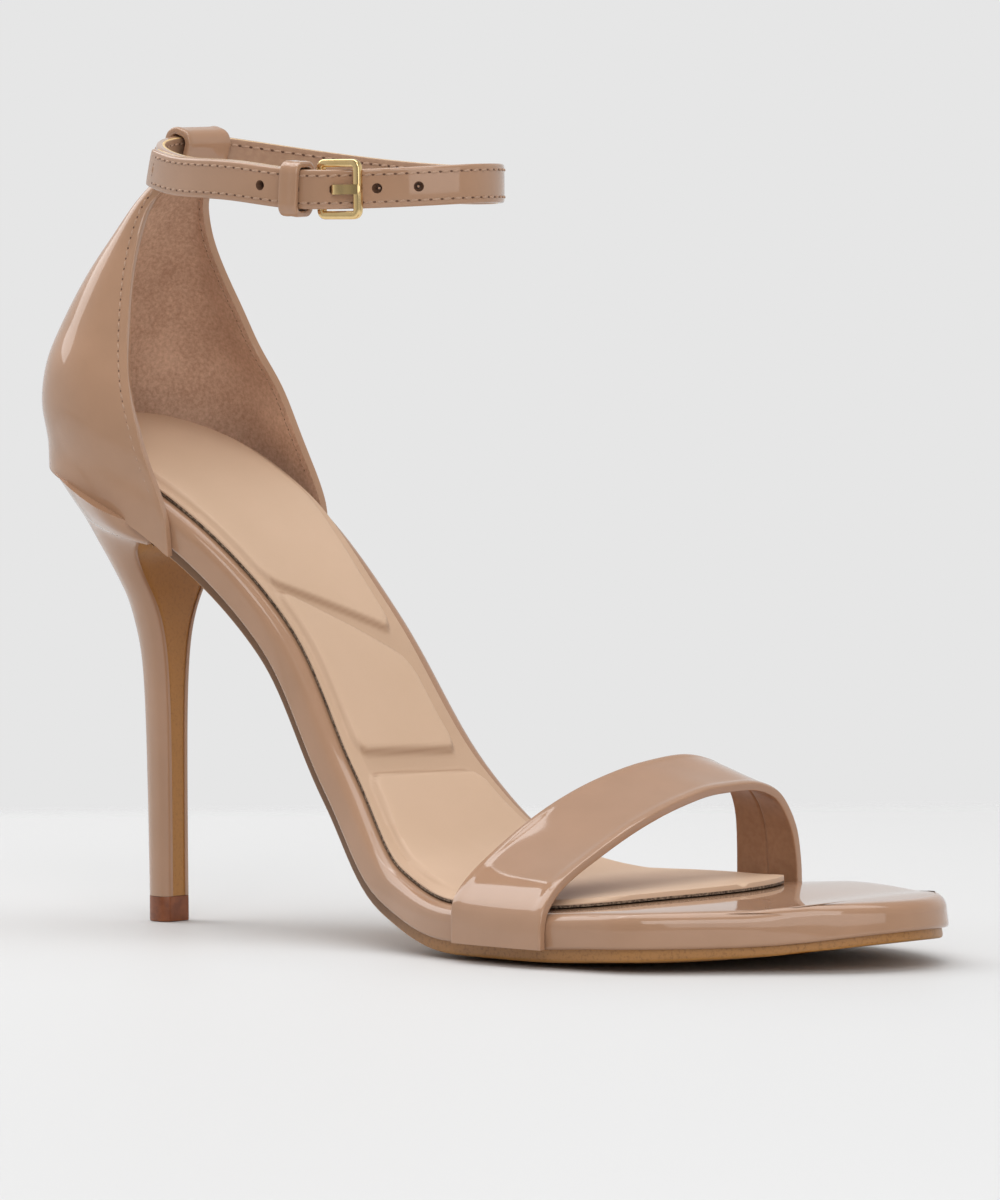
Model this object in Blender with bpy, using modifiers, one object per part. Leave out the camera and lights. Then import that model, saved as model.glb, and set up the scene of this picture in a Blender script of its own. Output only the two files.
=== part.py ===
# Strappy heeled sandal, right shoe, at its real size.
#
# The last is worked out first: a side profile, a plan outline and a crowned tread.
# Every piece then follows the last, or the piece that carries it, by a named gap.
# Lengths are millimetres while a piece is shaped and metres once it is placed.
# X points to the toe, Y to the inner side of the foot and Z up. The floor is Z = 0.

import math

import bmesh
import bpy
from mathutils import Vector

MM = 0.001

# Driving sizes of the last and the sole, in millimetres.
LENGTH = 214.4
SEAT_HEIGHT = 104.4
BALL_HALF = 38.9
TOE_SPRING = 4.2
SEAT_ROUND = 26.0
TOE_ROUND = 46.0
CROWN = 1.1
SIDE_LIFT = 1.5
RIM_THICK = 7.0
RIM_SOFTEN = 2.2
OUTSOLE_THICK = 2.3
OUTSOLE_INSET = 1.5
TREAD_LIFT = 1.0
SOCK_THICK = 1.6
SOCK_INSET = 2.8
SOCK_TUCK = 0.6
SOCK_LENGTH = 173.0
SOCK_TOE_ROUND = 38.0

# The heel, its leather breast and its top lift.
BREAST_X = 20.9
BREAST_THICK = 1.0
BREAST_DROP = 24.2
BREAST_ROUND = 7.2
HEEL_SEAT_PROUD = 1.0
HEEL_SEAT_FRONT = 34.6
HEEL_Y = -2.5
HEEL_HALF = 20.0
LIFT_HEIGHT = 5.2

# The counter at the back, and the loop on top of it.
COUNTER_WALL = 1.5
COUNTER_RISE = 48.7
COUNTER_HALF = 23.0
COUNTER_FRONT = 38.0
LOOP_LENGTH = 12.8
LOOP_WALL = 1.4
LOOP_LEAN = 18.0
LOOP_FLAT = 1.3

# The strap over the toes.
VAMP_THICK = 1.8
VAMP_RISE = 28.0
VAMP_BACK = 128.0
VAMP_FRONT = 155.0

# The ankle strap, as an oval seen from above, with its keeper and buckle.
STRAP_WIDTH = 8.0
STRAP_THICK = 1.9
ANKLE_BACK_X = 23.5
ANKLE_CENTRE_Y = -5.0
ANKLE_BACK_Y = -0.9
ANKLE_HALF_LENGTH = 42.5
ANKLE_HALF_WIDTH = 24.5
ANKLE_RISE = 51.2
ANKLE_TILT = 2.6
ANKLE_SAG = 1.5
ANKLE_ARCH = 1.0
HOLE_DIAMETER = 2.2
HOLE_PITCH = 8.2
HOLE_COUNT = 5
PRONG_HOLE = 2
KEEPER_BAND = 4.2
KEEPER_WALL = 1.2
BUCKLE_BAR = 1.7
BUCKLE_LENGTH = 10.4
PRONG_WIRE = 1.1

# Clearances between pieces.
GAP = 0.3
SLIDE_GAP = 0.4

BALL_TOP = OUTSOLE_THICK + TREAD_LIFT + GAP + RIM_THICK
BREAST_TOP = SEAT_HEIGHT - BREAST_DROP
ANKLE_HEIGHT = SEAT_HEIGHT + ANKLE_RISE

# Sections of the last from back to toe. Columns are shares: along of the length, climb of
# the height from ball to seat, spring of the toe spring, half and drift of the half width.
LAST = (
    dict(along=0.000, climb=1.000, spring=0.00, half=0.727, drift=-0.075),
    dict(along=0.082, climb=0.934, spring=0.00, half=0.647, drift=-0.046),
    dict(along=0.192, climb=0.802, spring=0.00, half=0.580, drift=-0.026),
    dict(along=0.305, climb=0.548, spring=0.00, half=0.507, drift=0.039),
    dict(along=0.396, climb=0.258, spring=0.00, half=0.573, drift=0.013),
    dict(along=0.492, climb=0.056, spring=0.00, half=0.760, drift=-0.013),
    dict(along=0.591, climb=0.000, spring=0.00, half=0.935, drift=-0.005),
    dict(along=0.694, climb=0.000, spring=0.00, half=1.000, drift=-0.008),
    dict(along=0.796, climb=0.000, spring=0.24, half=1.020, drift=0.005),
    dict(along=0.897, climb=0.000, spring=0.35, half=0.862, drift=0.100),
    dict(along=1.000, climb=0.000, spring=1.00, half=0.690, drift=0.147),
)

# Levels of the counter above the edge of the seat. Heights are shares of its rise, the
# front and back places are shares of the seat's own depth, half is a share of its half width.
COUNTER = (
    dict(level=0.10, front_z=-0.405, back_z=-0.040, front=1.045, back=-0.088, half=1.014, drift=-1.0),
    dict(level=0.19, front_z=-0.300, back_z=0.010, front=0.996, back=-0.096, half=1.012, drift=-1.2),
    dict(level=0.28, front_z=-0.190, back_z=0.084, front=0.940, back=-0.098, half=1.010, drift=-1.9),
    dict(level=0.37, front_z=-0.050, back_z=0.175, front=0.870, back=-0.074, half=0.996, drift=-2.5),
    dict(level=0.46, front_z=0.115, back_z=0.278, front=0.780, back=-0.036, half=0.960, drift=-2.5),
    dict(level=0.55, front_z=0.278, back_z=0.400, front=0.686, back=0.022, half=0.830, drift=-2.5),
    dict(level=0.64, front_z=0.441, back_z=0.522, front=0.632, back=0.098, half=0.712, drift=-2.5),
    dict(level=0.73, front_z=0.604, back_z=0.655, front=0.578, back=0.196, half=0.574, drift=-2.5),
    dict(level=0.82, front_z=0.767, back_z=0.788, front=0.550, back=0.324, half=0.436, drift=-2.4),
    dict(level=0.91, front_z=0.910, back_z=0.915, front=0.556, back=0.440, half=0.335, drift=-1.8),
    dict(level=1.00, front_z=0.992, back_z=1.020, front=0.628, back=0.556, half=0.252, drift=-1.1),
)

# Levels of the heel from seat to lift. The back's height is a share of the seat height and
# its setback and its half widths at the widest place and at the breast are shares of the
# heel's half width.
# turn is the share of the way round the curve under the shank.
HEEL = (
    dict(level=0.10, back_z=0.868, setback=0.030, half=1.145, breast=1.000, turn=0.00),
    dict(level=0.18, back_z=0.838, setback=0.090, half=1.030, breast=0.930, turn=0.22),
    dict(level=0.26, back_z=0.803, setback=0.180, half=0.910, breast=0.840, turn=0.44),
    dict(level=0.34, back_z=0.766, setback=0.280, half=0.800, breast=0.750, turn=0.64),
    dict(level=0.42, back_z=0.726, setback=0.385, half=0.680, breast=0.635, turn=0.83),
    dict(level=0.50, back_z=0.683, setback=0.460, half=0.540, breast=0.495, turn=1.00),
    dict(level=0.58, back_z=0.644, setback=0.510, half=0.410, breast=0.360, turn=1.00),
    dict(level=0.66, back_z=0.595, setback=0.550, half=0.315, breast=0.255, turn=1.00),
    dict(level=0.74, back_z=0.535, setback=0.610, half=0.250, breast=0.190, turn=1.00),
    dict(level=0.82, back_z=0.430, setback=0.640, half=0.215, breast=0.150, turn=1.00),
    dict(level=0.91, back_z=0.265, setback=0.660, half=0.200, breast=0.140, turn=1.00),
    dict(level=1.00, back_z=0.053, setback=0.680, half=0.200, breast=0.140, turn=1.00),
)

# The strap over the toes, from its outer foot to its inner foot. across_back and
# across_front are shares of the half width, rise_back and rise_front of the strap's rise,
# back and front move each edge from its own station, in millimetres.
VAMP = (
    dict(arc=0.08, across_back=-1.002, rise_back=0.050, across_front=-1.045, rise_front=0.050, back=1.6, front=0.5),
    dict(arc=0.16, across_back=-0.890, rise_back=0.200, across_front=-0.915, rise_front=0.215, back=1.2, front=0.2),
    dict(arc=0.25, across_back=-0.590, rise_back=0.465, across_front=-0.560, rise_front=0.440, back=2.0, front=-0.3),
    dict(arc=0.34, across_back=-0.290, rise_back=0.700, across_front=-0.250, rise_front=0.612, back=4.0, front=0.0),
    dict(arc=0.43, across_back=0.020, rise_back=0.865, across_front=0.080, rise_front=0.740, back=6.2, front=0.0),
    dict(arc=0.52, across_back=0.310, rise_back=0.965, across_front=0.360, rise_front=0.803, back=8.4, front=0.0),
    dict(arc=0.61, across_back=0.570, rise_back=1.000, across_front=0.620, rise_front=0.810, back=10.0, front=0.0),
    dict(arc=0.70, across_back=0.800, rise_back=0.930, across_front=0.840, rise_front=0.740, back=11.0, front=-0.4),
    dict(arc=0.78, across_back=0.945, rise_back=0.750, across_front=0.960, rise_front=0.585, back=11.4, front=-0.8),
    dict(arc=0.86, across_back=1.012, rise_back=0.510, across_front=1.030, rise_front=0.385, back=11.0, front=-0.9),
    dict(arc=0.93, across_back=1.030, rise_back=0.250, across_front=1.055, rise_front=0.160, back=10.6, front=-0.9),
)


def clear_scene():
    """Start from a scene with no objects."""
    for thing in list(bpy.data.objects):
        bpy.data.objects.remove(thing, do_unlink=True)


def new_collection(name):
    """A collection linked to the scene."""
    group = bpy.data.collections.new(name)
    bpy.context.scene.collection.children.link(group)
    return group


def new_material(name, colour, roughness, metallic=0.0, coat=0.0):
    """A Principled material from a linear colour."""
    material = bpy.data.materials.new(name)
    material.use_nodes = True
    shader = material.node_tree.nodes["Principled BSDF"]
    shader.inputs["Base Color"].default_value = (*colour, 1.0)
    shader.inputs["Roughness"].default_value = roughness
    shader.inputs["Metallic"].default_value = metallic
    shader.inputs["Coat Weight"].default_value = coat
    material.diffuse_color = (*colour, 1.0)
    return material


def read(table, name, key, by):
    """Value of a named column, on a smooth curve through the table's rows."""
    keys = [row[by] for row in table]
    values = [row[name] for row in table]
    key = min(max(key, keys[0]), keys[-1])
    index = 0
    while index < len(keys) - 2 and key > keys[index + 1]:
        index += 1

    def steepness(place):
        if place in (0, len(keys) - 1):
            low = max(place - 1, 0)
            return (values[low + 1] - values[low]) / (keys[low + 1] - keys[low])
        before = (values[place] - values[place - 1]) / (keys[place] - keys[place - 1])
        after = (values[place + 1] - values[place]) / (keys[place + 1] - keys[place])
        if before * after <= 0.0:
            return 0.0
        return 2.0 * before * after / (before + after)

    span = keys[index + 1] - keys[index]
    part = (key - keys[index]) / span
    start = values[index]
    end = values[index + 1]
    lead = steepness(index) * span
    trail = steepness(index + 1) * span
    curve = part * part * (3.0 - 2.0 * part)
    return (
        start
        + (end - start) * curve
        + lead * part * (1.0 - part) ** 2
        - trail * part * part * (1.0 - part)
    )


def rim_height(x):
    """Height of the rim's upper edge, carried on straight past both ends."""
    inside = min(max(x, 0.0), LENGTH)
    along = inside / LENGTH
    height = BALL_TOP
    height += read(LAST, "climb", along, "along") * (SEAT_HEIGHT - BALL_TOP)
    height += read(LAST, "spring", along, "along") * TOE_SPRING
    if x != inside:
        step = 1.0 if x > inside else -1.0
        back = inside - step
        height += (height - rim_height(back)) * abs(x - inside)
    return height


def rim_slope(x):
    """Steepness of the side profile."""
    step = 0.5
    return (rim_height(x + step) - rim_height(x - step)) / (2.0 * step)


def under_rim(x, depth):
    """Place (x, z) that lies depth below the rim's upper edge, square to the profile."""
    slope = rim_slope(x)
    size = math.hypot(1.0, slope)
    return x + slope * depth / size, rim_height(x) - depth / size


def drift(x):
    """How far the middle of the last lies to the inner side."""
    return read(LAST, "drift", x / LENGTH, "along") * BALL_HALF


def full_half(x):
    """Half width of the last before its ends are rounded."""
    return read(LAST, "half", x / LENGTH, "along") * BALL_HALF


def crown(x, t):
    """Height of the tread over its outer edge: a dome that leans up to the inner side.

    t is -1 at the outer edge and +1 at the inner one. Only the front of the shoe has it.
    """
    ramp = min(max((x / LENGTH - 0.42) / 0.20, 0.0), 1.0)
    ramp = ramp * ramp * (3.0 - 2.0 * ramp)
    toe = min(max((x - (LENGTH - TOE_ROUND)) / TOE_ROUND, 0.0), 1.0)
    dome = CROWN * (1.0 - t * t) * (1.0 - toe * toe)
    lean = SIDE_LIFT * 0.5 * (1.0 + t) * (1.0 - toe)
    return ramp * (dome + lean)


CORNER = math.sqrt(0.5)
STATION = LENGTH / 34.0


def arc_share(level, power):
    """Share of a rounded end left at a share of its half width."""
    return max(1.0 - abs(level) ** power, 0.0) ** (1.0 / power)


class Plan:
    """Outline of a plate seen from above, with a rounded or square back and front."""

    def __init__(self, back, front, back_round, front_round, inset, front_power=2.0):
        self.back = back
        self.front = front
        self.back_round = back_round
        self.front_round = front_round
        self.inset = inset
        self.front_power = front_power
        self.back_corner = back + back_round * (1.0 - arc_share(CORNER, 2.0))
        self.front_corner = front - front_round * (1.0 - arc_share(CORNER, front_power))

    def half(self, x):
        """Half width at a station."""
        half = full_half(x) - self.inset(x)
        if x < self.back + self.back_round:
            half *= arc_share((self.back + self.back_round - x) / self.back_round, 2.0)
        if x > self.front - self.front_round:
            start = self.front - self.front_round
            half *= arc_share((x - start) / self.front_round, self.front_power)
        return half

    def stations(self):
        """Places along the last. Plates share them, apart from their own ends."""
        first = math.ceil(self.back_corner / STATION + 0.5)
        last = math.floor(self.front_corner / STATION - 0.5)
        shared = [STATION * index for index in range(first, last + 1)]
        return [self.back_corner] + shared + [self.front_corner]

    def place(self, s, t):
        """Point at s from back to front and t from -1 outside to +1 inside."""
        stations = self.stations()
        edge = stations[round(s * (len(stations) - 1))]
        x = edge
        if s < 0.2:
            bow = self.back_round * (arc_share(CORNER, 2.0) - arc_share(t * CORNER, 2.0))
            x += bow * (1.0 - s / 0.2) ** 2
        if s > 0.75:
            power = self.front_power
            bow = self.front_round * (arc_share(t * CORNER, power) - arc_share(CORNER, power))
            x += bow * (1.0 - (1.0 - s) / 0.25) ** 2
        return x, drift(x) + t * self.half(edge)


def new_object(name, mesh, group, origin, material):
    """Link a mesh as a named object under the common origin."""
    thing = bpy.data.objects.new(name, mesh)
    group.objects.link(thing)
    thing.parent = origin
    thing.data.materials.append(material)
    return thing


def cut_box(cuts):
    """A unit cube with loop cuts along each of its three axes."""
    box = bmesh.new()
    bmesh.ops.create_cube(box, size=1.0)
    for axis, count in enumerate(cuts):
        if count < 1:
            continue
        along = []
        for edge in box.edges:
            step = edge.verts[1].co - edge.verts[0].co
            if abs(step[axis]) > 0.5:
                along.append(edge)
        bmesh.ops.subdivide_edges(box, edges=along, cuts=count, use_grid_fill=True)
    return box


def bent_box(name, cuts, place, group, origin, material, soften=None):
    """A cut box whose points are carried to place(s, t, w), each share from 0 to 1.

    soften(s, t, w) gives the weight of an edge for a bevel, from the shares of its ends.
    """
    box = cut_box(cuts)
    weights = box.edges.layers.float.new("bevel_weight_edge")
    shares = {}
    for vertex in box.verts:
        shares[vertex] = tuple(value + 0.5 for value in vertex.co)
    if soften is not None:
        for edge in box.edges:
            edge[weights] = soften(shares[edge.verts[0]], shares[edge.verts[1]])
    for vertex in box.verts:
        vertex.co = Vector(place(*shares[vertex])) * MM
    bmesh.ops.recalc_face_normals(box, faces=box.faces[:])
    if box.calc_volume(signed=True) < 0.0:
        bmesh.ops.reverse_faces(box, faces=box.faces[:])
    mesh = bpy.data.meshes.new(name)
    box.to_mesh(mesh)
    box.free()
    mesh.shade_smooth()
    mesh.set_sharp_from_angle(angle=math.radians(40.0))
    return new_object(name, mesh, group, origin, material)


def add_bevel(thing, width, segments, by_weight=False):
    """Round a piece's edges."""
    bevel = thing.modifiers.new("soft_edges", "BEVEL")
    bevel.width = width * MM
    bevel.segments = segments
    bevel.limit_method = "WEIGHT" if by_weight else "ANGLE"
    bevel.angle_limit = math.radians(50.0)
    bevel.harden_normals = False


def on_face(first, second, axis, value):
    """True where an edge lies on one face of the cut box."""
    return abs(first[axis] - value) < 1e-4 and abs(second[axis] - value) < 1e-4


def plate_edge(first, second, side):
    """True on the outline of a plate's upper (side 1) or lower (side 0) face."""
    if not on_face(first, second, 2, side):
        return False
    for axis in (0, 1):
        for value in (0.0, 1.0):
            if on_face(first, second, axis, value):
                return True
    return False


def add_rim(group, origin, material):
    """The wrapped insole board: a thick plate with a domed front and a soft upper edge."""
    plan = Plan(0.0, LENGTH, SEAT_ROUND, TOE_ROUND, lambda x: 0.0)

    def place(s, t, w):
        side = 2.0 * t - 1.0
        x, y = plan.place(s, side)
        depth = -crown(x, side) if w > 0.5 else RIM_THICK
        x, z = under_rim(x, depth)
        return x, y, z

    def soften(first, second):
        if plate_edge(first, second, 1.0):
            return 1.0
        return 0.3 if plate_edge(first, second, 0.0) else 0.0

    rim = bent_box("wrapped_insole_board", (len(plan.stations()) - 2, 7, 0), place, group, origin, material, soften)
    add_bevel(rim, RIM_SOFTEN, 3, by_weight=True)
    return rim


def add_outsole(group, origin, material):
    """The leather outsole: shank and forepart, thicker at the ball, which stands flat."""
    plan = Plan(HEEL_SEAT_FRONT + 6.5, LENGTH - OUTSOLE_INSET, 1.0, TOE_ROUND - OUTSOLE_INSET,
                lambda x: OUTSOLE_INSET)

    def place(s, t, w):
        side = 2.0 * t - 1.0
        x, y = plan.place(s, side)
        depth = RIM_THICK + GAP
        if w > 0.5:
            x, z = under_rim(x, depth)
            return x, y, z
        ball = min(max((x / LENGTH - 0.42) / 0.12, 0.0), 1.0)
        belly = TREAD_LIFT * 1.15 * ball * (1.0 - side ** 4)
        x, z = under_rim(x, depth + OUTSOLE_THICK + belly)
        return x, y, max(z, 0.0)

    def soften(first, second):
        return 1.0 if plate_edge(first, second, 0.0) and not on_face(first, second, 0, 0.0) else 0.0

    outsole = bent_box("outsole", (len(plan.stations()) - 2, 7, 0), place, group, origin, material, soften)
    add_bevel(outsole, 0.6, 1, by_weight=True)
    return outsole


def add_sock(group, origin, material):
    """The padded sock on the insole board, with a rounded front short of the toe."""
    middle = 0.5 * (VAMP_BACK + VAMP_FRONT)

    def inset(x):
        return SOCK_INSET + SOCK_TUCK * math.exp(-((x - middle) / 16.0) ** 2)

    plan = Plan(SOCK_INSET, SOCK_LENGTH, SEAT_ROUND - SOCK_INSET, SOCK_TOE_ROUND, inset)

    def place(s, t, w):
        side = 2.0 * t - 1.0
        x, y = plan.place(s, side)
        over = (y - drift(x)) / full_half(x)
        height = crown(x, over) + GAP
        if w > 0.5:
            height += SOCK_THICK
        x, z = under_rim(x, -height)
        return x, y, z

    def soften(first, second):
        return 1.0 if plate_edge(first, second, 1.0) else 0.0

    sock = bent_box("padded_sock", (len(plan.stations()) - 2, 5, 0), place, group, origin, material, soften)
    add_bevel(sock, 0.6, 1, by_weight=True)
    return sock


def seat_outline(offset, front, count):
    """Points round the back of the rim's outline, from the outer to the inner front edge."""
    plan = Plan(-offset, LENGTH, SEAT_ROUND + offset, TOE_ROUND, lambda x: -offset)
    fine = 240
    trail = []
    for index in range(fine + 1):
        angle = math.pi * (index / fine - 0.5)
        x = -offset + (front + offset) * (1.0 - math.cos(angle))
        half = plan.half(x) if abs(angle) > 1e-6 else 0.0
        trail.append((x, drift(x) + math.copysign(half, angle)))
    steps = [0.0]
    for before, after in zip(trail, trail[1:]):
        steps.append(steps[-1] + math.dist(before, after))
    points = []
    for index in range(count + 1):
        goal = steps[-1] * index / count
        place = 0
        while place < fine - 1 and steps[place + 1] < goal:
            place += 1
        part = (goal - steps[place]) / max(steps[place + 1] - steps[place], 1e-9)
        x = trail[place][0] + part * (trail[place + 1][0] - trail[place][0])
        y = trail[place][1] + part * (trail[place + 1][1] - trail[place][1])
        points.append((x, y))
    return points


def add_counter(group, origin, material):
    """The closed back: one wall that hugs the seat, rises behind the heel and narrows."""
    around = 22
    seat = seat_outline(GAP, COUNTER_FRONT, around)
    foot = seat_outline(GAP, COUNTER_FRONT + 6.0, around)
    seat_half = 0.5 * (seat[-1][1] - seat[0][1])
    seat_middle = 0.5 * (seat[-1][1] + seat[0][1])
    seat_drop = rim_height(0.0) - rim_height(COUNTER_FRONT)

    def inner(index, level):
        if level <= 0.0:
            x, y = foot[index]
            x, z = under_rim(x, RIM_THICK - 0.6)
            return Vector((x, y, z))
        x, y = seat[index]
        share = x / COUNTER_FRONT
        fall = (rim_height(0.0) - rim_height(x)) / seat_drop
        front_z = read(COUNTER, "front_z", level, "level")
        back_z = read(COUNTER, "back_z", level, "level")
        front = read(COUNTER, "front", level, "level")
        back = read(COUNTER, "back", level, "level")
        half = read(COUNTER, "half", level, "level") * COUNTER_HALF
        middle = read(COUNTER, "drift", level, "level")
        return Vector((
            (back + (front - back) * share) * COUNTER_FRONT,
            middle + (y - seat_middle) * half / seat_half,
            SEAT_HEIGHT + (back_z + (front_z - back_z) * fall) * COUNTER_RISE,
        ))

    levels = [0.0] + [row["level"] for row in COUNTER]
    rows = len(levels) - 1

    def place(s, t, w):
        index = round(s * around)
        row = round(t * rows)
        here = inner(index, levels[row])
        if w < 0.5:
            return here
        before = inner(max(index - 1, 0), levels[row])
        after = inner(min(index + 1, around), levels[row])
        low = inner(index, levels[max(row - 1, 0)])
        high = inner(index, levels[min(row + 1, rows)])
        out = (high - low).cross(after - before).normalized()
        return here + out * COUNTER_WALL

    def soften(first, second):
        if not (on_face(first, second, 2, 0.0) or on_face(first, second, 2, 1.0)):
            return 0.0
        if on_face(first, second, 0, 0.0) or on_face(first, second, 0, 1.0):
            return 1.0
        inside = 0.1 < first[0] < 0.9 and 0.1 < second[0] < 0.9
        return 1.0 if on_face(first, second, 1, 1.0) and inside else 0.0

    counter = bent_box("counter", (around - 1, rows - 1, 0), place, group, origin, material, soften)
    add_bevel(counter, 0.35, 1, by_weight=True)
    return counter


def breast_place(turn, offset):
    """Place (x, z) on the breast, offset behind its face.

    turn is 0 where it leaves the outsole, 1 where the stem is upright and 2 at the lift.
    """
    slope = rim_slope(HEEL_SEAT_FRONT + 5.0)
    lean = math.atan2(1.0, -slope)
    centre_x = BREAST_X + BREAST_ROUND
    centre_z = BREAST_TOP - BREAST_ROUND
    radius = BREAST_ROUND + offset
    if turn <= 1.0:
        angle = lean + (math.pi - lean) * turn
        return centre_x + radius * math.cos(angle), centre_z + radius * math.sin(angle)
    low = LIFT_HEIGHT + GAP
    return BREAST_X - offset, centre_z + (low - centre_z) * (turn - 1.0)


def heel_turn(level):
    """Share of the way round and down the breast at a level of the heel."""
    turn = read(HEEL, "turn", level, "level")
    if turn < 0.999:
        return turn
    height = read(HEEL, "back_z", level, "level") * SEAT_HEIGHT
    low = LIFT_HEIGHT + GAP
    top = BREAST_TOP - BREAST_ROUND
    if level >= 1.0:
        return 2.0
    return max(2.0 - (height - low) / (top - low), 1.0)


def d_section(s, side, half, breast):
    """Share of the depth, and half width, on a section with a round back and a flat front."""
    rounded = 0.74
    corner = rounded * (1.0 - CORNER)
    depth = corner + s * (1.0 - corner)
    width = half * arc_share(max(rounded - depth, 0.0) / rounded, 2.0)
    if depth > rounded:
        part = (depth - rounded) / (1.0 - rounded)
        width = half + (breast - half) * part * part
    share = depth
    if s < 0.5:
        bow = rounded * (CORNER - arc_share(side * CORNER, 2.0))
        share += bow * (1.0 - s / 0.5) ** 2
    return share, width


def seat_under(x):
    """Height of the heel's seat under the wrapped board at a place x."""
    depth = RIM_THICK + GAP
    guess = x + 5.0
    for _ in range(16):
        guess += x - under_rim(guess, depth)[0]
    return under_rim(guess, depth)[1]


def add_heel(group, origin, material):
    """The wrapped heel: a cup under the seat that falls away to a slim stem."""
    behind = BREAST_THICK + GAP
    levels = [0.0] + [row["level"] for row in HEEL]
    back_x = under_rim(0.0, RIM_THICK + GAP)[0] - HEEL_SEAT_PROUD
    front_x = breast_place(0.0, behind)[0]
    seat_half = full_half(10.0) + HEEL_SEAT_PROUD - 0.8

    def place(s, t, w):
        level = levels[round((1.0 - w) * (len(levels) - 1))]
        side = 2.0 * t - 1.0
        if level <= 0.0:
            share, width = d_section(s, side, seat_half, HEEL[0]["breast"] * HEEL_HALF + 0.4)
            x = back_x + (front_x - back_x) * share
            return x, HEEL_Y + side * width, seat_under(x)
        share, width = d_section(s, side, read(HEEL, "half", level, "level") * HEEL_HALF,
                                 read(HEEL, "breast", level, "level") * HEEL_HALF)
        setback = read(HEEL, "setback", level, "level") * HEEL_HALF
        height = read(HEEL, "back_z", level, "level") * SEAT_HEIGHT
        if level >= 1.0:
            height = LIFT_HEIGHT + GAP
        near_x, near_z = breast_place(heel_turn(level), behind)
        x = setback + (near_x - setback) * share
        z = height + (near_z - height) * share
        return x, HEEL_Y + side * width, z

    return bent_box("heel", (6, 6, len(levels) - 2), place, group, origin, material)


def add_breast(group, origin, material):
    """The leather that turns down the front of the heel from the outsole."""
    levels = [row["level"] for row in HEEL]

    def place(s, t, w):
        level = levels[round(s * (len(levels) - 1))]
        x, z = breast_place(heel_turn(level), BREAST_THICK if w < 0.5 else 0.0)
        half = read(HEEL, "breast", level, "level") * HEEL_HALF - 0.3
        return x, HEEL_Y + (2.0 * t - 1.0) * half, z

    return bent_box("heel_breast", (len(levels) - 2, 1, 0), place, group, origin, material)


def add_lift(group, origin, material):
    """The top lift that the heel stands on."""
    low = HEEL[-1]
    setback = low["setback"] * HEEL_HALF

    def place(s, t, w):
        side = 2.0 * t - 1.0
        share, width = d_section(s, side, low["half"] * HEEL_HALF, low["breast"] * HEEL_HALF)
        x = setback + (BREAST_X - setback) * share
        return x, HEEL_Y + side * width, w * LIFT_HEIGHT

    return bent_box("top_lift", (6, 6, 0), place, group, origin, material)


def vamp_surface(arc, edge):
    """Outer face of the toe strap: arc from outer to inner foot, edge from back to front."""
    first = VAMP[0]["arc"]
    last = VAMP[-1]["arc"]
    inside = min(max(arc, first), last)
    back = VAMP_BACK + read(VAMP, "back", inside, "arc")
    front = VAMP_FRONT + read(VAMP, "front", inside, "arc")
    x = back + (front - back) * edge
    across_back = read(VAMP, "across_back", inside, "arc")
    across_front = read(VAMP, "across_front", inside, "arc")
    rise_back = read(VAMP, "rise_back", inside, "arc")
    rise_front = read(VAMP, "rise_front", inside, "arc")
    y = (across_back + (across_front - across_back) * edge) * BALL_HALF
    z = BALL_TOP + (rise_back + (rise_front - rise_back) * edge) * VAMP_RISE
    side = -1.0 if arc < 0.5 else 1.0
    wall = drift(x) + side * (full_half(x) + GAP + VAMP_THICK)
    if arc < first or arc > last:
        part = arc / first if arc < first else (1.0 - arc) / (1.0 - last)
        foot = BALL_TOP - RIM_THICK + 0.2
        top = BALL_TOP - 1.5
        if part < 0.5:
            return Vector((x, wall, foot + (top - foot) * part * 2.0))
        blend = (part - 0.5) * 2.0
        return Vector((x, wall + (y - wall) * blend, top + (z - top) * blend))
    return Vector((x, y, z))


def add_vamp(group, origin, material):
    """The strap over the toes, whose feet lie outside the rim and stand on the outsole."""
    arcs = [0.0, 0.04] + [row["arc"] for row in VAMP] + [0.965, 1.0]
    fine = []
    for low, high in zip(arcs, arcs[1:]):
        fine.append(low)
        if VAMP[0]["arc"] <= low < VAMP[-1]["arc"]:
            fine.append(0.5 * (low + high))
    fine.append(1.0)
    count = len(fine) - 1
    across = 4

    def place(s, t, w):
        index = round(s * count)
        here = vamp_surface(fine[index], t)
        if w > 0.5:
            return here
        before = vamp_surface(fine[max(index - 1, 0)], t)
        after = vamp_surface(fine[min(index + 1, count)], t)
        low = vamp_surface(fine[index], max(t - 0.25, 0.0))
        high = vamp_surface(fine[index], min(t + 0.25, 1.0))
        out = (high - low).cross(after - before).normalized()
        if index in (0, 1, count - 1, count):
            out = Vector((0.0, -1.0 if index < 2 else 1.0, 0.0))
        return here - out * VAMP_THICK

    vamp = bent_box("toe_strap", (count - 1, across - 1, 0), place, group, origin, material)
    add_bevel(vamp, 0.6, 2)
    return vamp


def ankle_centre(angle):
    """Middle line of the ankle strap. Angle 0 is the front and 90 the outer side."""
    turn = math.radians(angle)
    cosine = math.cos(turn)
    across = ANKLE_HALF_WIDTH * math.sin(turn)
    x = ANKLE_BACK_X + ANKLE_HALF_LENGTH * (1.0 + cosine)
    y = ANKLE_CENTRE_Y - across
    if cosine < 0.0:
        x += LOOP_FLAT * math.exp(-((across / (0.5 * LOOP_LENGTH)) ** 2))
        y += (ANKLE_BACK_Y - ANKLE_CENTRE_Y) * cosine ** 6
    z = ANKLE_HEIGHT - ANKLE_TILT * cosine + ANKLE_SAG * math.cos(2.0 * turn)
    arch = min(max((angle % 360.0 - 66.0) / 54.0, 0.0), 1.0)
    z += ANKLE_ARCH * math.sin(math.pi * arch) ** 2
    return Vector((x, y, z))


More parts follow.
